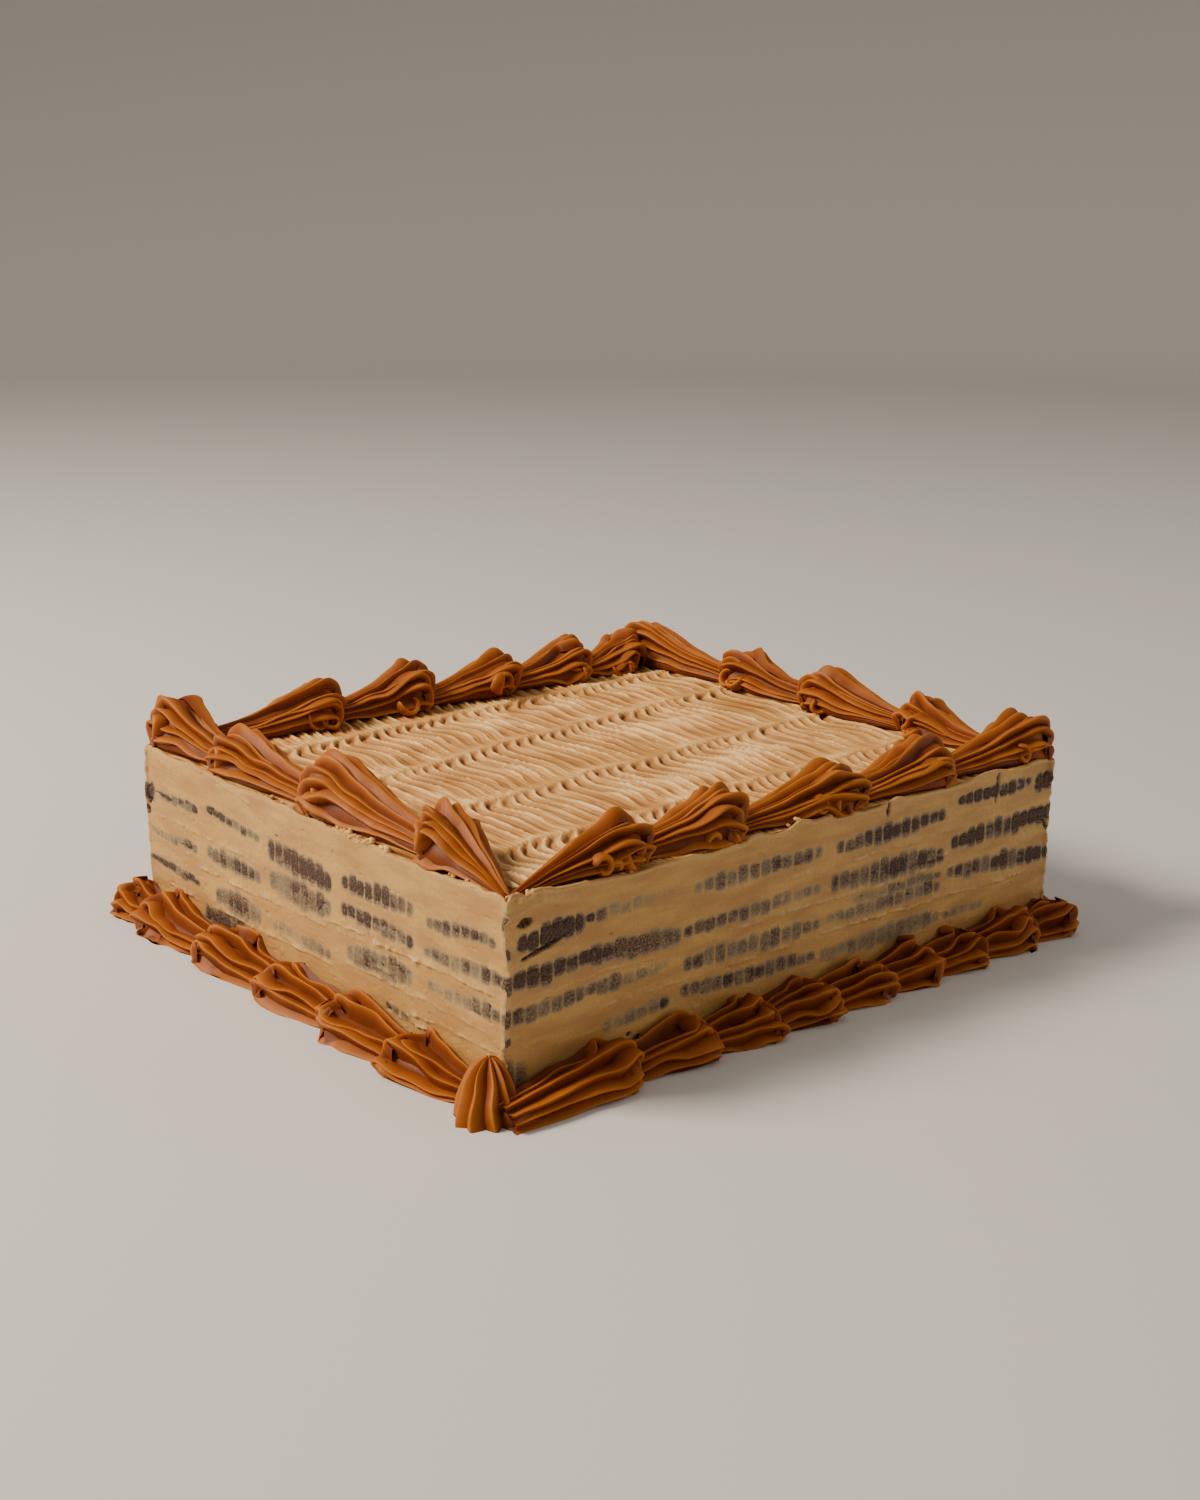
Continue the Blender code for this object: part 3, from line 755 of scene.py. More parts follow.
comb = {
    "pitch": 6.3, "bodyDepth": 1.25, "hookDepth": 2.8, "middleDepth": 1.9, "finePitch": 2.2, "fineDepth": 0.7,
    "seamStarts": [40, 85, 130, 196], "seamRises": [19, 27, 44, 17], "hookLength": 13, "hookLean": 8.0,
    "inset": 1.6, "cell": (0.6, 1.15), "under": 3.6, "level": 68.9, "steepShare": 0.2, "fineSteepShare": 0.42,
    "seamStart": -2, "seamEnd": 6, "seamLip": 0.4, "rimLip": 0.3, "bow": 1.8, "bandShift": 3.1,
}
combNoise = {  # strength, size in mm and seed of each
    "sway": (1.6, 26, 40), "seam": (1.6, 11, 41), "seamRag": (1.2, 4, 42),
    "strokes": (4.0, 24, 44), "wander": (2.0, (22, 16, 9), 45), "wriggle": (0.7, (7, 8, 9), 51),
    "fineShift": (1.3, (12, 22, 9), 46), "fineDepth": (0.7, (9, 14, 9), 53), "tines": (0.55, 1.0, 49),
    "middles": (1, 45, 52), "calm": (0.5, (34, 24, 9), 48), "swell": (0.3, 34, 50),
}


def tineWave(phase, drop):
    # 1 on a tine's crest, a steep fall on its shaded side, then a slow rise to the next
    f = phase - np.floor(phase)
    fall = 0.5 + 0.5 * np.cos(math.pi * f / drop)
    return np.where(f < drop, fall, (np.clip(f - drop, 0, 1) / (1 - drop)) ** 1.8)


def combBands(x, y):
    # the strokes of the comb, one ahead of the other: how far y is through its own, the stroke's width
    # there and its number
    sway = noiseLayer(onLine(x), combNoise["sway"])
    seams = [np.zeros(len(x)) + comb["seamStart"]]
    for start, rise in zip(comb["seamStarts"], comb["seamRises"]):
        rags = (combNoise[key] for key in ("seam", "seamRag"))
        uneven = noiseStack(onLine(x), [(strength, size, seed + start) for strength, size, seed in rags])
        seams.append(start + rise * (x / length) ** 0.6 + sway + uneven)
    seams.append(np.zeros(len(x)) + depth + comb["seamEnd"])
    share, band, width = np.zeros(len(x)), np.zeros(len(x)), np.ones(len(x))
    for k, (seam, following) in enumerate(zip(seams, seams[1:])):
        here = (y >= seam) & (y < following)
        share = np.where(here, (y - seam) / (following - seam), share)
        width = np.where(here, following - seam, width)
        band = np.where(here, k, band)
    return share, width, band


def combPlace(u, v):
    inset, reach = comb["inset"], comb["hookLength"]
    x = inset + u * (length - 2 * inset)
    y = inset + v * (depth - 2 * inset)
    flat = np.stack([x, y, 0 * x], axis=-1)
    share, width, band = combBands(x, y)
    fromNext = (1 - share) * width  # mm to the seam ahead
    fromLast = share * width
    strokes = np.stack([x, band * 40, 0 * x], axis=-1)
    # where each tine ran, and how it hooks over at the end of its stroke
    hook = smoothStep(reach, 2, fromNext)
    lean = comb["hookLean"] * smoothStep(reach, -4, fromNext) ** 1.3
    lean = lean + comb["bow"] * np.sin(2 * math.pi * (share - 0.15)) * smoothStep(0, 0.3, share)
    wander = noiseLayer(strokes, combNoise["strokes"]) + noiseLayer(flat, combNoise["wander"])
    wander = wander + noiseLayer(flat, combNoise["wriggle"])
    phase = (x - lean + wander + comb["bandShift"] * band) / comb["pitch"]
    wave = tineWave(phase, comb["steepShare"])
    fineShift = noiseLayer(flat, combNoise["fineShift"])
    finePhase = (x - 0.9 * lean + 0.9 * wander + fineShift) / comb["finePitch"]
    fine = tineWave(finePhase, comb["fineSteepShare"])
    fine = fine * np.clip(0.9 + noiseLayer(flat, combNoise["fineDepth"]), 0.2, 1.5)
    # how deep it cut: each tine differs, and a stroke is deepest at its hooks and in its middle
    tall = np.stack([np.floor(phase + 0.5) * 5.3, band * 40 + y / 14, 0 * x], axis=-1)
    strength = 1 + noiseLayer(tall, combNoise["tines"])
    deepMiddle = smoothStep(-0.35, 0.4, noiseLayer(strokes, combNoise["middles"]))
    middle = np.exp(-((share - 0.5) / 0.15) ** 2) * deepMiddle
    calm = np.clip(0.85 + noiseLayer(flat, combNoise["calm"]), 0.3, 1.2)
    size = comb["bodyDepth"] * calm * smoothStep(0, 10, fromLast) + comb["middleDepth"] * middle * calm
    size = size * (1 - hook) + comb["hookDepth"] * hook * smoothStep(-0.4, 3.2, fromNext)
    z = size * strength * (wave - 0.45) + comb["fineDepth"] * (fine - 0.4) * (1 - 0.6 * hook)
    z = z + comb["seamLip"] * np.exp(-(fromLast / 4.5) ** 2) + noiseLayer(flat, combNoise["swell"])
    rim = np.minimum(np.minimum(x, length - x), np.minimum(y, depth - y))
    z = comb["level"] + z * smoothStep(2.5, 10, rim) + comb["rimLip"] * smoothStep(8, 1, rim)
    # painted highlight and shade: paler on the crests and on each stroke's raised start, darker in the
    # valleys and down the steep shaded side of each tine
    rise = 0.5 + 0.46 * np.clip(size, 0, 1.6) * strength * (wave - 0.5)
    rise = rise + 0.32 * (fine - 0.45) * (1 - 0.6 * hook) + 0.12 * np.exp(-(fromLast / 5) ** 2)
    return np.stack([x + blockLow[0], y + blockLow[1], z], axis=-1), {"rise": np.clip(rise, 0, 1)}


def underside(point):
    reach = wallLook["thickness"] + 0.5
    x = min(max(point.x / mm, blockLow[0] + reach), blockHigh[0] - reach)
    y = min(max(point.y / mm, blockLow[1] + reach), blockHigh[1] - reach)
    return Vector((x, y, layerHeight(layers[-1], x, y) + comb["under"])) * mm


def buildTop():
    columns, rows = round(length / comb["cell"][0]), round(depth / comb["cell"][1])
    mesh = wrapGrid("cream_top", columns, rows, combPlace)
    closeMesh(mesh, underside, merge=0.001)
    addPiece("cream_top", mesh, combedCream, ["cream"])
    print("top combed")


def buildFilling():
    # the cream between the biscuit layers, inside the sides
    bm = bmesh.new()
    inset, half = wallLook["thickness"], edgeLook["halfThickness"] + 0.1
    for layer in layers:
        slab = bmesh.ops.create_cube(bm, size=1)["verts"]
        for v in slab:
            x = math.copysign(length / 2 - inset, v.co.x)
            y = math.copysign(depth / 2 - inset, v.co.y)
            under = layer - 1 if v.co.z < 0 else layer
            z = layerHeight(under, x, y) + math.copysign(half, -v.co.z) if under else 0
            v.co = Vector((x, y, z)) * mm
    bmesh.ops.recalc_face_normals(bm, faces=bm.faces)
    mesh = bpy.data.meshes.new("cream_filling")
    bm.to_mesh(mesh)
    bm.free()
    setValues(mesh, {"film": 1.0, "ridge": 0.0})
    addPiece("cream_filling", mesh, scrapedCream, ["cream"], sharp=30)


buildTop()
buildFilling()


# Broken bits of cream left on the rim and the corner: side, first and last place, out and up from the
# rim, how many, their size
creamBits = [
    ("left", 66, 100, -0.6, 0.6, 16, 1.7), ("left", 24, 40, -0.8, 0.2, 4, 1.1),
    ("left", 128, 150, -0.6, 0.3, 5, 1.2), ("front", 1, 18, -0.4, -0.4, 9, 1.5),
    ("front", 48, 60, -1.0, 0.2, 4, 1.2), ("front", 122, 150, -0.6, 0.4, 5, 1.1),
    ("back", 60, 100, -0.8, 0.3, 8, 1.4), ("right", 90, 130, -0.8, 0.3, 8, 1.4),
]


# the bits are painted partly pale: pale cream and painted highlight
bitsLook = {
    "seed": 31, "stretch": ((0.6, 1.4), (0.5, 1.0), (0.5, 0.9)), "size": (0.6, 1.25), "inward": (0.0, 2.6),
    "up": (-0.4, 0.5), "values": {"film": 3.0, "ridge": 0.6},
}


def buildBits():
    draw = random.Random(bitsLook["seed"])
    bm = bmesh.new()
    for side, start, end, out, up, count, size in creamBits:
        for _ in range(count):
            made = bmesh.ops.create_icosphere(bm, subdivisions=3, radius=1)["verts"]
            shape = np.array([v.co for v in made])
            turn = Matrix.Rotation(draw.uniform(0, 6.28), 3, Vector((draw.random(), draw.random(), 1)))
            stretch = np.array([draw.uniform(*span) for span in bitsLook["stretch"]])
            lumpy = 1 + 0.35 * softNoise(shape + draw.uniform(0, 90), 0.7, 81)
            lumpy = lumpy + 0.15 * softNoise(shape, 0.3, 82)
            big = size * draw.uniform(*bitsLook["size"])
            shape = (shape * lumpy[:, None] * stretch * big) @ np.array(turn).T
            s, inward = draw.uniform(start, end), draw.uniform(*bitsLook["inward"])
            rim = rimHeight(side, np.array([s]))[0] + up + draw.uniform(*bitsLook["up"])
            points = onSide(side, s + shape[:, 0], out - inward + shape[:, 1], rim + shape[:, 2])
            for v, point in zip(made, points):
                v.co = Vector(point) * mm
    bmesh.ops.recalc_face_normals(bm, faces=bm.faces)
    mesh = bpy.data.meshes.new("cream_bits")
    bm.to_mesh(mesh)
    bm.free()
    setValues(mesh, bitsLook["values"])
    addPiece("cream_bits", mesh, scrapedCream, ["cream"])
    print("bits laid")


buildBits()


shellLook = {
    "inset": 12.5, "footMiddle": 0.3, "topRibs": 10, "footRibs": 5, "topDepth": 4.4, "footDepth": 6.0,
    "coreCells": (54, 44), "ribCells": (56, 16), "curlCells": (40, 16), "tailUnder": 8.0,
    "footReach": 20.0, "footClimb": 14.5, "shake": 0.9, "ribStep": 0.012, "ribGap": 0.95, "ribStray": 0.14,
    "topSlim": (0.36, 0.1), "footSlim": (0.5, 0.6),  # how wide a tail starts, and the tail at a near corner
    "cornerTail": 2.5, "footCornerUnder": 3.0, "headShare": 0.4, "footHeadShare": 0.5,
    "shortHead": {"foot_shell_left_6": 7.0, "foot_shell_front_9": 5.0},
    "tailLean": {"top_shell_front_1": 9.5, "top_shell_left_1": 9.5, "foot_shell_front_1": 7.0},
}
# How a rib runs from tail to head and down to the cake: share of its run, and there its place along the
# shell, its spread, its height, how far it has turned forward in degrees, and its depth
topRun = np.array([
    (0.00, 0.00, 0.00, 0.00, 0, 0.20), (0.20, 0.28, 0.27, 0.27, 0, 0.40), (0.38, 0.54, 0.54, 0.56, 0, 0.70),
    (0.52, 0.76, 0.80, 0.88, 5, 1.00), (0.64, 0.91, 0.97, 1.08, 25, 1.15), (0.74, 1.03, 1.02, 1.02, 55, 1.15),
    (0.83, 1.08, 0.97, 0.70, 80, 0.95), (0.92, 1.04, 0.90, 0.32, 92, 0.70), (1, 1, 0.88, 0, 95, 0.50),
]).T
footRun = np.array([
    (0.00, 0.00, 0.00, 0.00, 0, 0.55), (0.22, 0.28, 0.45, 0.45, 0, 0.65), (0.44, 0.62, 0.80, 0.80, 0, 0.85),
    (0.60, 0.86, 0.98, 0.98, 5, 0.95), (0.72, 0.98, 1.02, 1.02, 35, 0.80), (0.78, 1.03, 1.00, 0.95, 65, 0.68),
    (0.87, 1.02, 0.94, 0.60, 85, 0.55), (0.94, 0.96, 0.90, 0.25, 90, 0.45), (1, 0.96, 0.90, 0, 90, 0.35),
]).T
# Curls at the foot of a head: shell, place along the side, out and up, radius, width, start and sweep
# in degrees, and how far its axis is turned along the side and tipped up
curls = [
    ("top_shell_front_1", 42.0, -2.6, 73.2, 2.8, 6.0, 200, 330, 8, 6),
    ("top_shell_front_1", 55.0, -3.6, 73.4, 3.4, 4.6, 60, 230, 25, 20),
    ("top_shell_front_1", 48.0, -3.2, 71.6, 2.2, 5.0, -60, 250, -10, 0),
    ("top_shell_front_2", 104.0, -4.0, 73.0, 3.4, 5.0, 80, 240, 30, 10),
    ("top_shell_front_2", 93.0, -3.4, 71.8, 2.4, 5.0, -40, 240, 0, 0),
    ("top_shell_front_3", 146.0, -4.4, 74.0, 2.9, 6.0, 180, 320, 10, 10),
    ("top_shell_front_3", 156.0, -3.6, 72.4, 2.9, 5.0, 40, 230, 20, 10),
    ("top_shell_left_1", 51.5, -3.6, 79.0, 4.2, 6.6, 20, 250, 20, 10),
    ("top_shell_left_2", 118.0, -4.4, 77.0, 4.4, 7.0, 20, 250, 20, 10),
    ("top_shell_left_3", 187.0, -4.4, 76.0, 4.0, 6.6, 20, 250, 20, 10),
    ("top_shell_left_4", 237.0, -4.4, 78.0, 4.0, 6.6, 20, 250, 20, 10),
    ("top_shell_front_4", 208.0, -4.0, 73.0, 2.8, 6.0, 170, 300, 10, 0),
    ("top_shell_front_5", 262.0, -4.0, 73.4, 2.8, 6.0, 170, 300, 10, 0),
]
curlThickness = 1.35
likeCurls = {  # the same for a head that the photo doesn't show well, in the order of the draws
    "fromHead": (2, 15), "outShare": (0.74, 0.9), "yaw": (120, 240), "up": (2.0, 6.0), "radius": (2.6, 4.6),
    "wide": (5.5, 8.0), "start": (90, 230), "sweep": (150, 280), "tip": (-20, 30),
}


def shellEnds(name, side):
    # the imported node's box, as places along and across its side
    low, high = (np.array(corner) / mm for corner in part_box(name))
    start, along, _, _ = sides[side]
    axis = 0 if along[0] else 1
    return low, high, low[axis] - start[axis], high[axis] - start[axis], (high[1 - axis] - low[1 - axis]) / 2


def unit(vectors):
    return vectors / np.maximum(np.linalg.norm(vectors, axis=-1, keepdims=True), 1e-6)


def alongRun(run, column, t):
    # a value of the run at t, eased round its corners
    steps = np.linspace(-0.055, 0.055, 5)
    return sum(np.interp(np.clip(t + step, 0, 1), run[0], run[column]) for step in steps) / len(steps)


def shellForm(name, side):
    low, high, tail, head, half = shellEnds(name, side)
    draw = random.Random(name)
    top = name.startswith("top")
    lean = shellLook["tailLean"].get(name, 0)
    form = {
        "side": side, "top": top, "lean": lean, "run": topRun if top else footRun,
        "seed": draw.uniform(0, 90), "skew": draw.uniform(-0.16, 0.16),
        "base": low[2] - 1.0 if top else 0.0,
        "middle": -shellLook["inset"] if top else shellLook["footMiddle"],
    }
    if top:
        form["wide"] = (shellLook["inset"] if lean else half) * draw.uniform(0.95, 1.03)
        form["tall"], form["slim"] = high[2] - low[2] + 1.0, shellLook["topSlim"][bool(lean)]
        under = tail - shellLook["cornerTail"] if lean else shellLook["tailUnder"]
        form["reach"] = min(half, (head - tail) * shellLook["headShare"])
    else:
        form["wide"] = shellLook["footReach"] * draw.uniform(0.92, 1.02)
        form["tall"] = shellLook["footClimb"] * draw.uniform(0.94, 1.04)
        form["slim"] = shellLook["footSlim"][bool(lean)]
        under = shellLook["footCornerUnder"] if lean else shellLook["tailUnder"]
        form["reach"] = min(form["wide"] * shellLook["footHeadShare"], (head - tail) * shellLook["headShare"])
    form["tail"] = tail - under
    form["pivot"] = head - tail - form["reach"] + under - shellLook["shortHead"].get(name, 0)
    return form


def shellPath(form, t, angle):
    # a point on the shell's crest line at an angle round it, the way out there, and its spread and depth.
    # A top shell is half an ellipse over its foot, a foot shell a quarter from the wall to the floor.
    run, slim, angle = form["run"], form["slim"], np.clip(angle, 0.001, math.pi - 0.001)
    share = alongRun(run, 1, t)
    behind = np.clip(1 - share, 0, 1)
    grown = slim + (1 - slim) * alongRun(run, 2, t)
    lifted = slim * 0.85 * behind + (1 - slim * 0.85 * behind) * alongRun(run, 3, t)
    turned = np.radians(alongRun(run, 4, t))
    if form["top"]:
        across, up = np.sign(np.cos(angle)) * np.abs(np.cos(angle)) ** 0.8, np.sin(angle) ** 0.7
        outward = np.stack([0 * t, np.cos(angle) / form["wide"], np.sin(angle) / form["tall"]], axis=-1)
        end = form["pivot"] + form["reach"] * (0.3 + 0.7 * up)
    else:
        bulge = 1 + 0.14 * np.sin(angle) ** 2
        across, up = np.sin(angle / 2) * bulge, np.cos(angle / 2) * bulge
        outward = np.stack([0 * t, across / form["wide"], up / form["tall"]], axis=-1)
        end = form["pivot"] + form["reach"] * (0.35 + 0.65 * np.sin(angle) ** 0.7)
    a = end * share
    out = form["middle"] + form["lean"] * behind ** 2 + form["wide"] * grown * across
    if form["top"]:
        out = out + form["skew"] * form["wide"] * lifted * up
    z = form["base"] + form["tall"] * lifted * up
    point = np.stack([form["tail"] + a, out, z], axis=-1)
    ahead = np.stack([np.maximum(a - form["pivot"], 0) + 2, 0.6 * (out - form["middle"]), 0 * t], axis=-1)
    outward = np.cos(turned)[:, None] * unit(outward) + np.sin(turned)[:, None] * unit(ahead)
    shake = np.stack([softNoise(point + form["seed"], 9, 64 + k) for k in range(3)], axis=-1)
    point = point + shellLook["shake"] * shake * np.clip(grown, 0, 1)[:, None]
    return point, unit(outward), grown, alongRun(run, 5, t)


def squared(path, u, step):
    # what a path gives at u, with the way out made square to its heading, and that heading
    point, outward, *rest = path(u)
    heading = unit(path(np.minimum(u + step, 1))[0] - path(np.maximum(u - step, 0))[0])
    return point, unit(outward - (outward * heading).sum(-1)[:, None] * heading), heading, *rest


def settle(form, points):
    points[:, 2] = np.maximum(points[:, 2], form["base"] - (0.4 if form["top"] else 0))
    return onSide(form["side"], points[:, 0], points[:, 1], points[:, 2])


def corePlace(form, depth):
    # the paste behind the ribs, which closes each flute with a rim at the head
    top, endShare, footShare = form["top"], 0.03, 0.08
    headEnd = form["tail"] + form["pivot"] + 0.7 * form["reach"]

    def place(u, v):
        angle = np.clip((v - footShare) / (1 - 2 * footShare), 0, 1) * math.pi
        point, outward, _, deep = shellPath(form, u, angle)
        rim = np.exp(-((u - 0.74) / 0.05) ** 2)
        back = depth * deep * (0.88 - (0.05 if top else 0.45) * rim * np.sin(angle) ** 0.5)
        flank = smoothStep(0 if top else -0.3, 0.5, angle)
        back = back * (0.25 + 0.75 * np.minimum(smoothStep(0, 0.55, math.pi - angle), flank))
        point = point - outward * back[:, None]
        # its foot and both ends are closed on the middle of the base
        inside = np.clip(np.minimum(v, 1 - v) / footShare, 0, 1)
        inside = inside * np.clip(np.minimum(u, 1 - u) / endShare, 0, 1)
        foot = np.stack([point[:, 0], 0 * u + form["middle"], 0 * u + form["base"]], axis=-1)
        foot[:, 0] = np.where(u < endShare, form["tail"], foot[:, 0])
        foot[:, 0] = np.where(u > 1 - endShare, headEnd, foot[:, 0])
        # painted shade: the core between the ribs is painted as dark as the grooves, a little less at its rim
        # at the head
        return settle(form, foot + (point - foot) * inside[:, None]), {"crest": 0.1 + 0.35 * rim}

    return place


def ribCrest(v, q):
    # how pale a rib is painted: a painted highlight on its lip, painted shade down at its root and darker in
    # the hollow on its far side
    return np.where(v < 0.5, 0.12 + 0.6 * q ** 1.2, 0.08 + 0.75 * q ** 3)


ribRanges = {  # what differs from rib to rib, in the order of the draws
    "lean": (0.0, 0.4), "far": (0.84, 1.08), "lift": (0.85, 1.08), "swell": (1.1, 1.5), "scoop": (1.4, 2.0),
    "sway": (0.15, 0.42), "seed": (0, 90), "strength": (0.8, 1.15), "splay": (-0.3, 0.3), "peak": (0.2, 1.6),
}
ribLook = {
    "topLip": 0.13, "footLip": 0.15, "farReach": 22,
    "swellMore": -0.42, "scoopMore": -0.3, "liftMore": -0.05,  # the top shells' ribs are fuller and lower
}


def ribPlace(form, angle, width, depth, draw):
    # one rib: a blade with a broad face, a thin lip that leans down the shell's side, and a hollow under it
    top = form["top"]
    lean, far, lift, swell, scoop, sway, seed, strength, splay, peak = (
        draw.uniform(*span) for span in ribRanges.values())
    lip = ribLook["topLip"] if top else ribLook["footLip"]
    if top:
        swell, scoop = swell + ribLook["swellMore"], scoop + ribLook["scoopMore"]
        lift = lift + ribLook["liftMore"]
        lean = lean * (0.15 + 0.85 * abs(math.cos(angle)))
    downward = 1 if angle > math.pi / 2 or not top else -1
    span = math.pi / (shellLook["topRibs"] if top else shellLook["footRibs"])
    ownForm = dict(form, tall=form["tall"] * lift, pivot=form["pivot"] + (far - 1) * ribLook["farReach"])

    def bent(t):
        wander = sway * 2.3 * lineNoise(t * 9, 1.7, seed) * (0.25 + t) + splay * smoothStep(0.45, 0.8, t)
        return np.clip(angle + span * wander, 0.02, math.pi - 0.02)

    def path(t):
        return shellPath(ownForm, t, bent(t))

    def place(u, v):
        point, outward, heading, grown, deep = squared(path, u, shellLook["ribStep"])
        aside = shellPath(ownForm, u, bent(u) + 0.06 * downward)[0] - point
        down = np.cross(heading, outward)
        down = down * np.where((down * aside).sum(-1) < 0, -1, 1)[:, None]
        # across the rib: q goes from 0 at its root to 1 at its lip and back
        spin = v * 2 * math.pi
        q = 0.5 - 0.5 * np.cos(spin)
        tip = smoothStep(0.5, 0.68, u)  # thin along the shell, rounder where it ends as a finger
        middle = lean * q ** 1.4 * (1 - 0.4 * tip)
        face = middle - 0.5 * (1 - q) ** (swell - 0.2 * tip)
        hollow = middle + 0.5 * (1 - q) ** (scoop - 0.4 * tip)
        rounding = (lip + 0.06 * tip) * np.sqrt(np.maximum(1 - q * q, 0))
        over = np.where(spin < math.pi, face - rounding, hollow + rounding)
        # its width and height along the shell
        wide = width * np.clip(grown, 0, 1.05) * (0.4 + 0.6 * np.clip(deep * 1.6, 0, 1))
        wide = wide * (1 + 0.15 * lineNoise(u * 9, 1.6, seed + 5))
        fromEnd = np.clip(1 - np.minimum(u / 0.05, (1 - u) / 0.1), 0, 1)
        nose = np.sqrt(np.clip(1 - fromEnd ** 2, 0.0004, 1))
        tall, wide = depth * deep * strength * nose, wide * nose
        ruffle = smoothStep(0.25, 0.6, u) * (0.9 * lineNoise(u * 9, 0.9, seed + 7) + 0.3)
        if top:
            crown = np.exp(-((u - 0.67) / 0.055) ** 2)
            ruffle, tall = ruffle + peak * crown, tall + (peak * crown + 0.4) * nose
            wide = wide * (1 - 0.2 * np.exp(-((u - 0.7) / 0.07) ** 2))
        point = point + outward * (ruffle * nose)[:, None]
        local = point + down * (over * wide)[:, None] - outward * (tall * (1 - q))[:, None]
        return settle(form, local), {"crest": np.clip(ribCrest(v, q), 0, 1)}

    return place


def joinMeshes(meshes):
    bm = bmesh.new()
    for mesh in meshes:
        bm.from_mesh(mesh)
    for mesh in meshes[1:]:
        bpy.data.meshes.remove(mesh)
    bm.to_mesh(meshes[0])
    bm.free()
    return meshes[0]


starLook = {
    "ribs": 9, "rise": 18.0, "twist": 0.35, "depth": 5.6, "lip": 0.1, "coreCells": (40, 60), "ribStep": 0.015,
    "ribWidth": 10.0, "baseShift": (1.6, -4.5), "tipShift": (6.4, 6.0), "shake": 0.6,
}
# From the tip down to the floor: share of the way, and there the spread and the height
starRun = np.array([
    (0.00, 0.08, 1.00), (0.12, 0.28, 0.97), (0.28, 0.52, 0.86), (0.45, 0.74, 0.68), (0.60, 0.90, 0.46),
    (0.75, 1.02, 0.24), (0.88, 1.06, 0.06), (1.00, 1.04, -0.15),
]).T


def starPath(t, angle):
    # from the pulled tip, out over the belly and in under it at the floor
    low, high = (np.array(corner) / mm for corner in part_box("foot_shell_near_corner"))
    middle, radius = (low + high) / 2, (high[1] - low[1]) / 2
    around = angle + starLook["twist"] * t
    spread, lifted = radius * alongRun(starRun, 1, t), alongRun(starRun, 2, t)
    across, along = np.cos(around), np.sin(around)
    (baseX, baseY), (tipX, tipY) = starLook["baseShift"], starLook["tipShift"]
    lean = np.maximum(lifted, 0) ** 1.3
    x = middle[0] + baseX + spread * across + tipX * lean
    y = middle[1] + baseY + spread * along + tipY * lean
    point = np.stack([x, y, starLook["rise"] * lifted], axis=-1)
    outward = unit(np.stack([across, along, 0.2 + 0.6 * lifted], axis=-1))
    shake = np.stack([softNoise(point, 8, 70 + k) for k in range(3)], axis=-1)
    point = point + starLook["shake"] * shake * np.sin(math.pi * t)[:, None] ** 0.5
    return point, outward, spread / radius


def starRib(angle, draw):
    lean, strength, seed = draw.uniform(0.0, 0.3), draw.uniform(0.9, 1.1), draw.uniform(0, 90)
    spacing = 2 * math.pi / starLook["ribs"]

    def path(t):
        return starPath(t, angle + 0.22 * spacing * lineNoise(t * 9, 3, seed))

    def place(u, v):
        point, outward, heading, grown = squared(path, u, starLook["ribStep"])
        aside = np.cross(heading, outward)
        q = 0.5 - 0.5 * np.cos(v * 2 * math.pi)
        lip = starLook["lip"] * np.sqrt(np.maximum(1 - q * q, 0))
        half = np.where(v < 0.5, -0.46 * (1 - q ** 1.5) - lip, 0.46 * (1 - q ** 1.3) + lip)
        wide = starLook["ribWidth"] * spacing * np.clip(grown, 0.12, 1)
        tall = starLook["depth"] * strength * np.clip(grown * 1.3, 0.25, 1)
        points = point + aside * ((half + lean * q ** 1.4) * wide)[:, None]
        points = points - outward * (tall * (1 - q))[:, None]
        points[:, 2] = np.maximum(points[:, 2], 0)
        return points, {"crest": ribCrest(v, q)}

    return place


def starCore(u, v):
    point, outward, grown = starPath(u, v * 2 * math.pi)
    points = point - outward * (starLook["depth"] * 0.65 * np.clip(grown * 1.3, 0.1, 1))[:, None]
    points[:, 2] = np.maximum(points[:, 2], 0)
    # painted shade: the core between the star's ribs is painted as dark as the grooves
    return points, {"crest": 0.1}


def curlPlace(curl):
    # a ribbon of paste rolled round an axis that points out of the side
    name, s, out, z, radius, wide, start, sweep, yaw, tip = curl
    side = name.split("_")[2]
    yaw, tip = math.radians(yaw), math.radians(tip)
    axis = np.array((math.sin(yaw) * math.cos(tip), math.cos(yaw) * math.cos(tip), math.sin(tip)))
    flat = np.array((math.cos(yaw), -math.sin(yaw), 0.0))
    upright = np.cross(flat, axis)

    def place(u, v):
        turn = np.radians(start + sweep * u)
        spin = v * 2 * math.pi
        growth = radius * (0.7 + 0.55 * u) + 0.35 * lineNoise(u * 9, 2.5, s * 0.7)
        body = np.sqrt(np.clip(1 - np.abs(2 * u - 1) ** 3, 0, 1))  # rounded at both ends
        away = growth + curlThickness * np.cos(spin) * body
        across = wide / 2 * np.sin(spin) * body
        local = (away * np.cos(turn))[:, None] * flat + (away * np.sin(turn))[:, None] * upright
        local = local + across[:, None] * axis
        points = onSide(side, s + local[:, 0], out + local[:, 1], np.maximum(z + local[:, 2], 0))
        # painted highlight: the ribbon's two edges are painted paler
        return points, {"crest": np.clip(0.45 + 0.45 * np.abs(np.sin(spin)) ** 3, 0, 1)}

    return place


def headCurls(node):
    # the curls that the photo shows, or one or two like them at the inner flank of a top shell's head
    seen = [curl for curl in curls if curl[0] == node]
    if seen or node.startswith("foot_shell"):
        return seen
    low, _, _, head, half = shellEnds(node, node.split("_")[2])
    draw = random.Random(node + " curls")
    for _ in range(draw.choice((1, 1, 2))):
        back, share, yaw, up, radius, wide, start, sweep, tip = (
            draw.uniform(*span) for span in likeCurls.values())
        out = -shellLook["inset"] - half * share
        seen.append((node, head - back, out, low[2] + up, radius, wide, start, sweep, yaw, tip))
    return seen


def addShell(node, meshes):
    addPiece(node + "_piped", joinMeshes(meshes), dulce, [node], sharp=100)


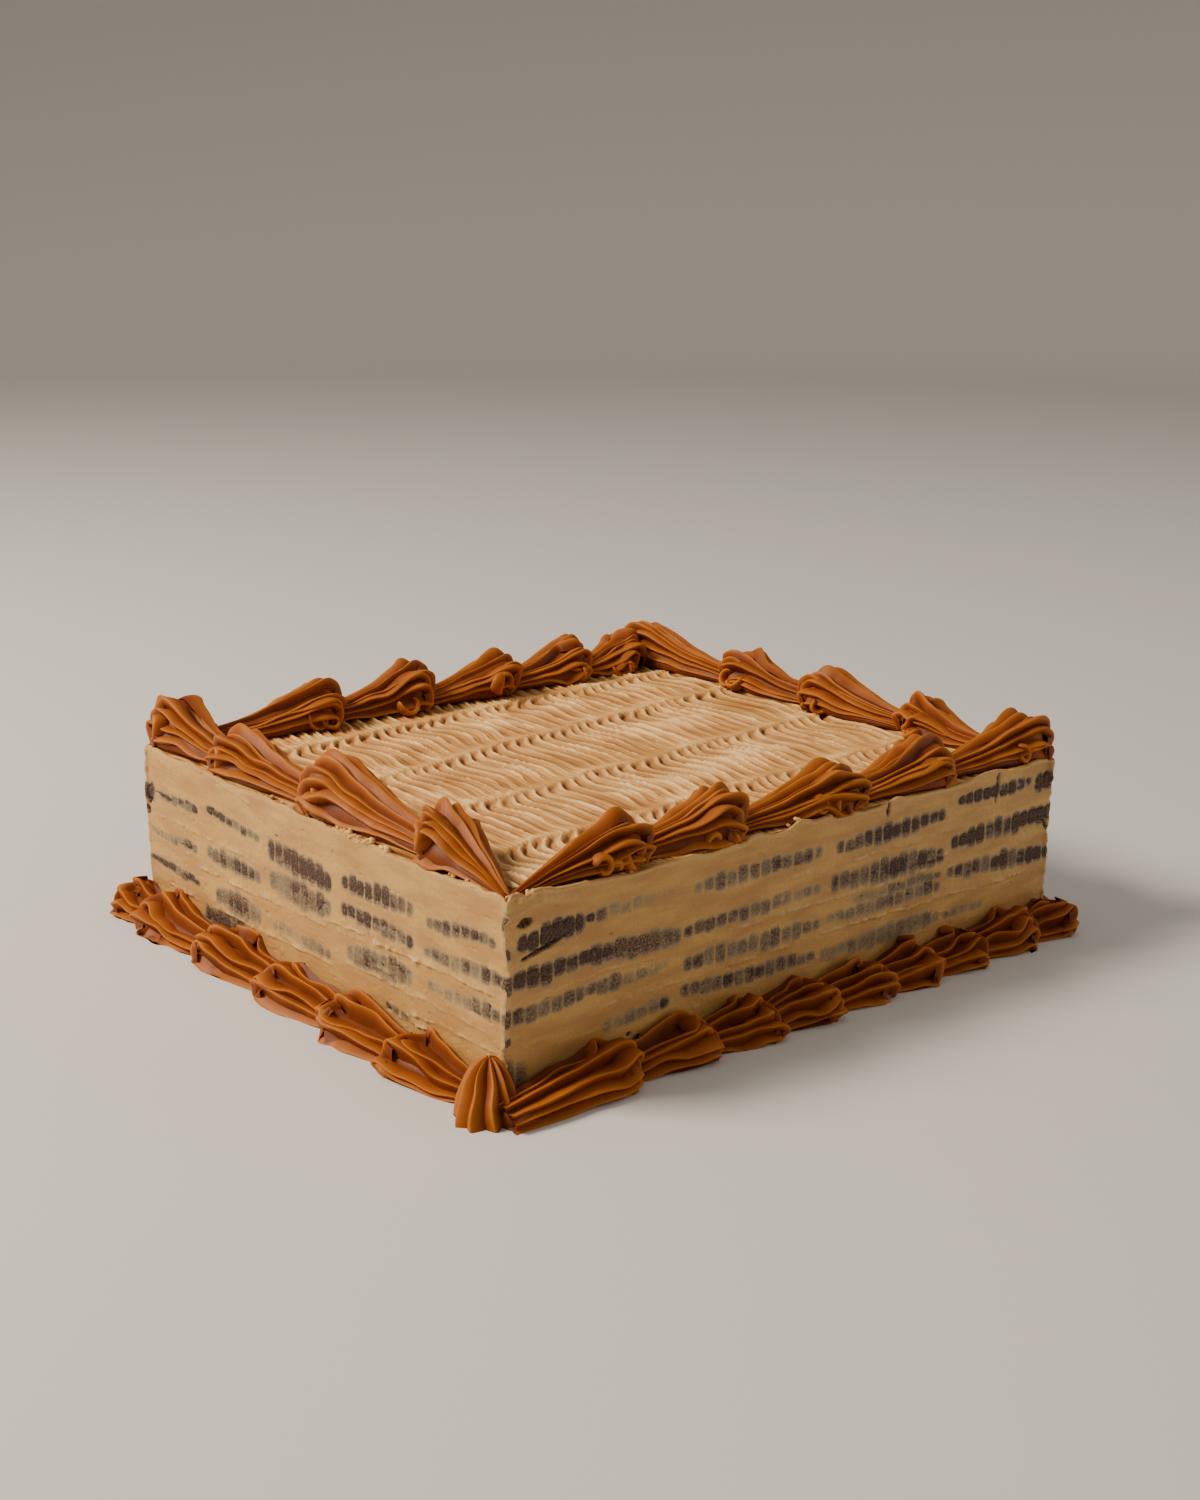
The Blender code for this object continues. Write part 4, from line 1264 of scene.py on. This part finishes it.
def pipeShell(node, side):
    form = shellForm(node, side)
    draw = random.Random(node + " ribs")
    ribs = shellLook["topRibs"] if form["top"] else shellLook["footRibs"]
    depth = shellLook["topDepth"] if form["top"] else shellLook["footDepth"]
    girth = math.pi * (form["wide"] + form["tall"]) / (2 if form["top"] else 4)
    meshes = [closeMesh(wrapGrid(node + "_piped", *shellLook["coreCells"], corePlace(form, depth)))]
    for k in range(ribs):
        angle = math.pi * (k + 0.5 + draw.uniform(-shellLook["ribStray"], shellLook["ribStray"])) / ribs
        rib = ribPlace(form, angle, shellLook["ribGap"] * girth / ribs, depth, draw)
        meshes.append(closeMesh(wrapGrid("rib", *shellLook["ribCells"], rib)))
    for curl in headCurls(node):
        meshes.append(closeMesh(wrapGrid("curl", *shellLook["curlCells"], curlPlace(curl))))
    addShell(node, meshes)


def pipeStar(node):
    draw = random.Random(node)
    meshes = [closeMesh(wrapGrid(node + "_piped", *starLook["coreCells"], starCore))]
    for k in range(starLook["ribs"]):
        angle = 2 * math.pi * (k + draw.uniform(-0.15, 0.15)) / starLook["ribs"]
        meshes.append(closeMesh(wrapGrid("rib", *shellLook["ribCells"], starRib(angle, draw))))
    addShell(node, meshes)


def buildShells():
    for node in sorted(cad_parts):
        if node == "foot_shell_near_corner":
            pipeStar(node)
        elif node.startswith(("top_shell", "foot_shell")):
            pipeShell(node, node.split("_")[2])
    print("shells piped")


buildShells()


stageLook = {
    "floor": "#D9D6D2", "roughness": 0.7, "floorSize": 7.0, "cells": 90,
    "flatReach": 2.6, "wallReach": 5.0, "wallRise": 1.3,
}


def buildStage():
    # a flat floor that sweeps up all round, so that no horizon shows
    look = stageLook
    bm = bmesh.new()
    bmesh.ops.create_grid(bm, x_segments=look["cells"], y_segments=look["cells"], size=look["floorSize"])
    for v in bm.verts:
        v.co.z = look["wallRise"] * smoothStep(look["flatReach"], look["wallReach"], v.co.length)
    mesh = bpy.data.meshes.new("floor")
    bm.to_mesh(mesh)
    mesh.shade_smooth()
    bm.free()
    floor = bpy.data.objects.new("floor", mesh)
    bpy.context.scene.collection.objects.link(floor)
    material, tree, shader = newMaterial("plain matt floor")
    fillInputs(tree, shader, {"Base Color": colour(look["floor"]), "Roughness": look["roughness"]})
    mesh.materials.append(material)


lights = {  # place in metres, size, power, colour
    "window": ((-1.2, 0.8, 1.3), 0.6, 52, "#FFF1DE"),
    "overhead": ((0.1, 0.4, 1.9), 1.6, 4, "#FFFFFF"),
    "reflector": ((1.5, -1.15, 0.45), 1.4, 8, "#FFF6EC"),
}
lightTarget = (0, 0, 0.03)
worldLook = {"colour": "#E9E2D6", "strength": 0.33}


def buildLights():
    for name, (place, size, power, tint) in lights.items():
        data = bpy.data.lights.new(name, "AREA")
        data.shape = "SQUARE"
        data.size = size
        data.energy = power
        data.color = colour(tint)[:3]
        lamp = bpy.data.objects.new(name, data)
        lamp.location = place
        lamp.rotation_euler = (Vector(lightTarget) - Vector(place)).to_track_quat("-Z", "Y").to_euler()
        bpy.context.scene.collection.objects.link(lamp)
    world = bpy.data.worlds.new("soft room")
    world.use_nodes = True
    background = world.node_tree.nodes["Background"]
    background.inputs["Color"].default_value = colour(worldLook["colour"])
    background.inputs["Strength"].default_value = worldLook["strength"]
    bpy.context.scene.world = world


cameraLook = {  # place in mm, angles in degrees
    "place": (-501.83, -597.60, 288.0), "azimuth": -40.10, "elevation": 15.58, "roll": 0.61, "lens": 48.01,
    "clipStart": 0.01,
}


def buildCamera():
    az, el, roll = (math.radians(cameraLook[k]) for k in ("azimuth", "elevation", "roll"))
    back = Vector((math.sin(az) * math.cos(el), -math.cos(az) * math.cos(el), math.sin(el)))
    level = Vector((math.cos(az), math.sin(az), 0))
    upright = back.cross(level)
    right = level * math.cos(roll) + upright * math.sin(roll)
    up = back.cross(right)
    data = bpy.data.cameras.new("camera")
    data.lens = cameraLook["lens"]
    data.clip_start = cameraLook["clipStart"]
    camera = bpy.data.objects.new("camera", data)
    turn = Matrix((right, up, back)).transposed().to_4x4()
    turn.translation = Vector(cameraLook["place"]) * mm
    camera.matrix_world = turn
    bpy.context.scene.collection.objects.link(camera)
    bpy.context.scene.camera = camera


buildStage()
buildLights()
buildCamera()
print("stage set")
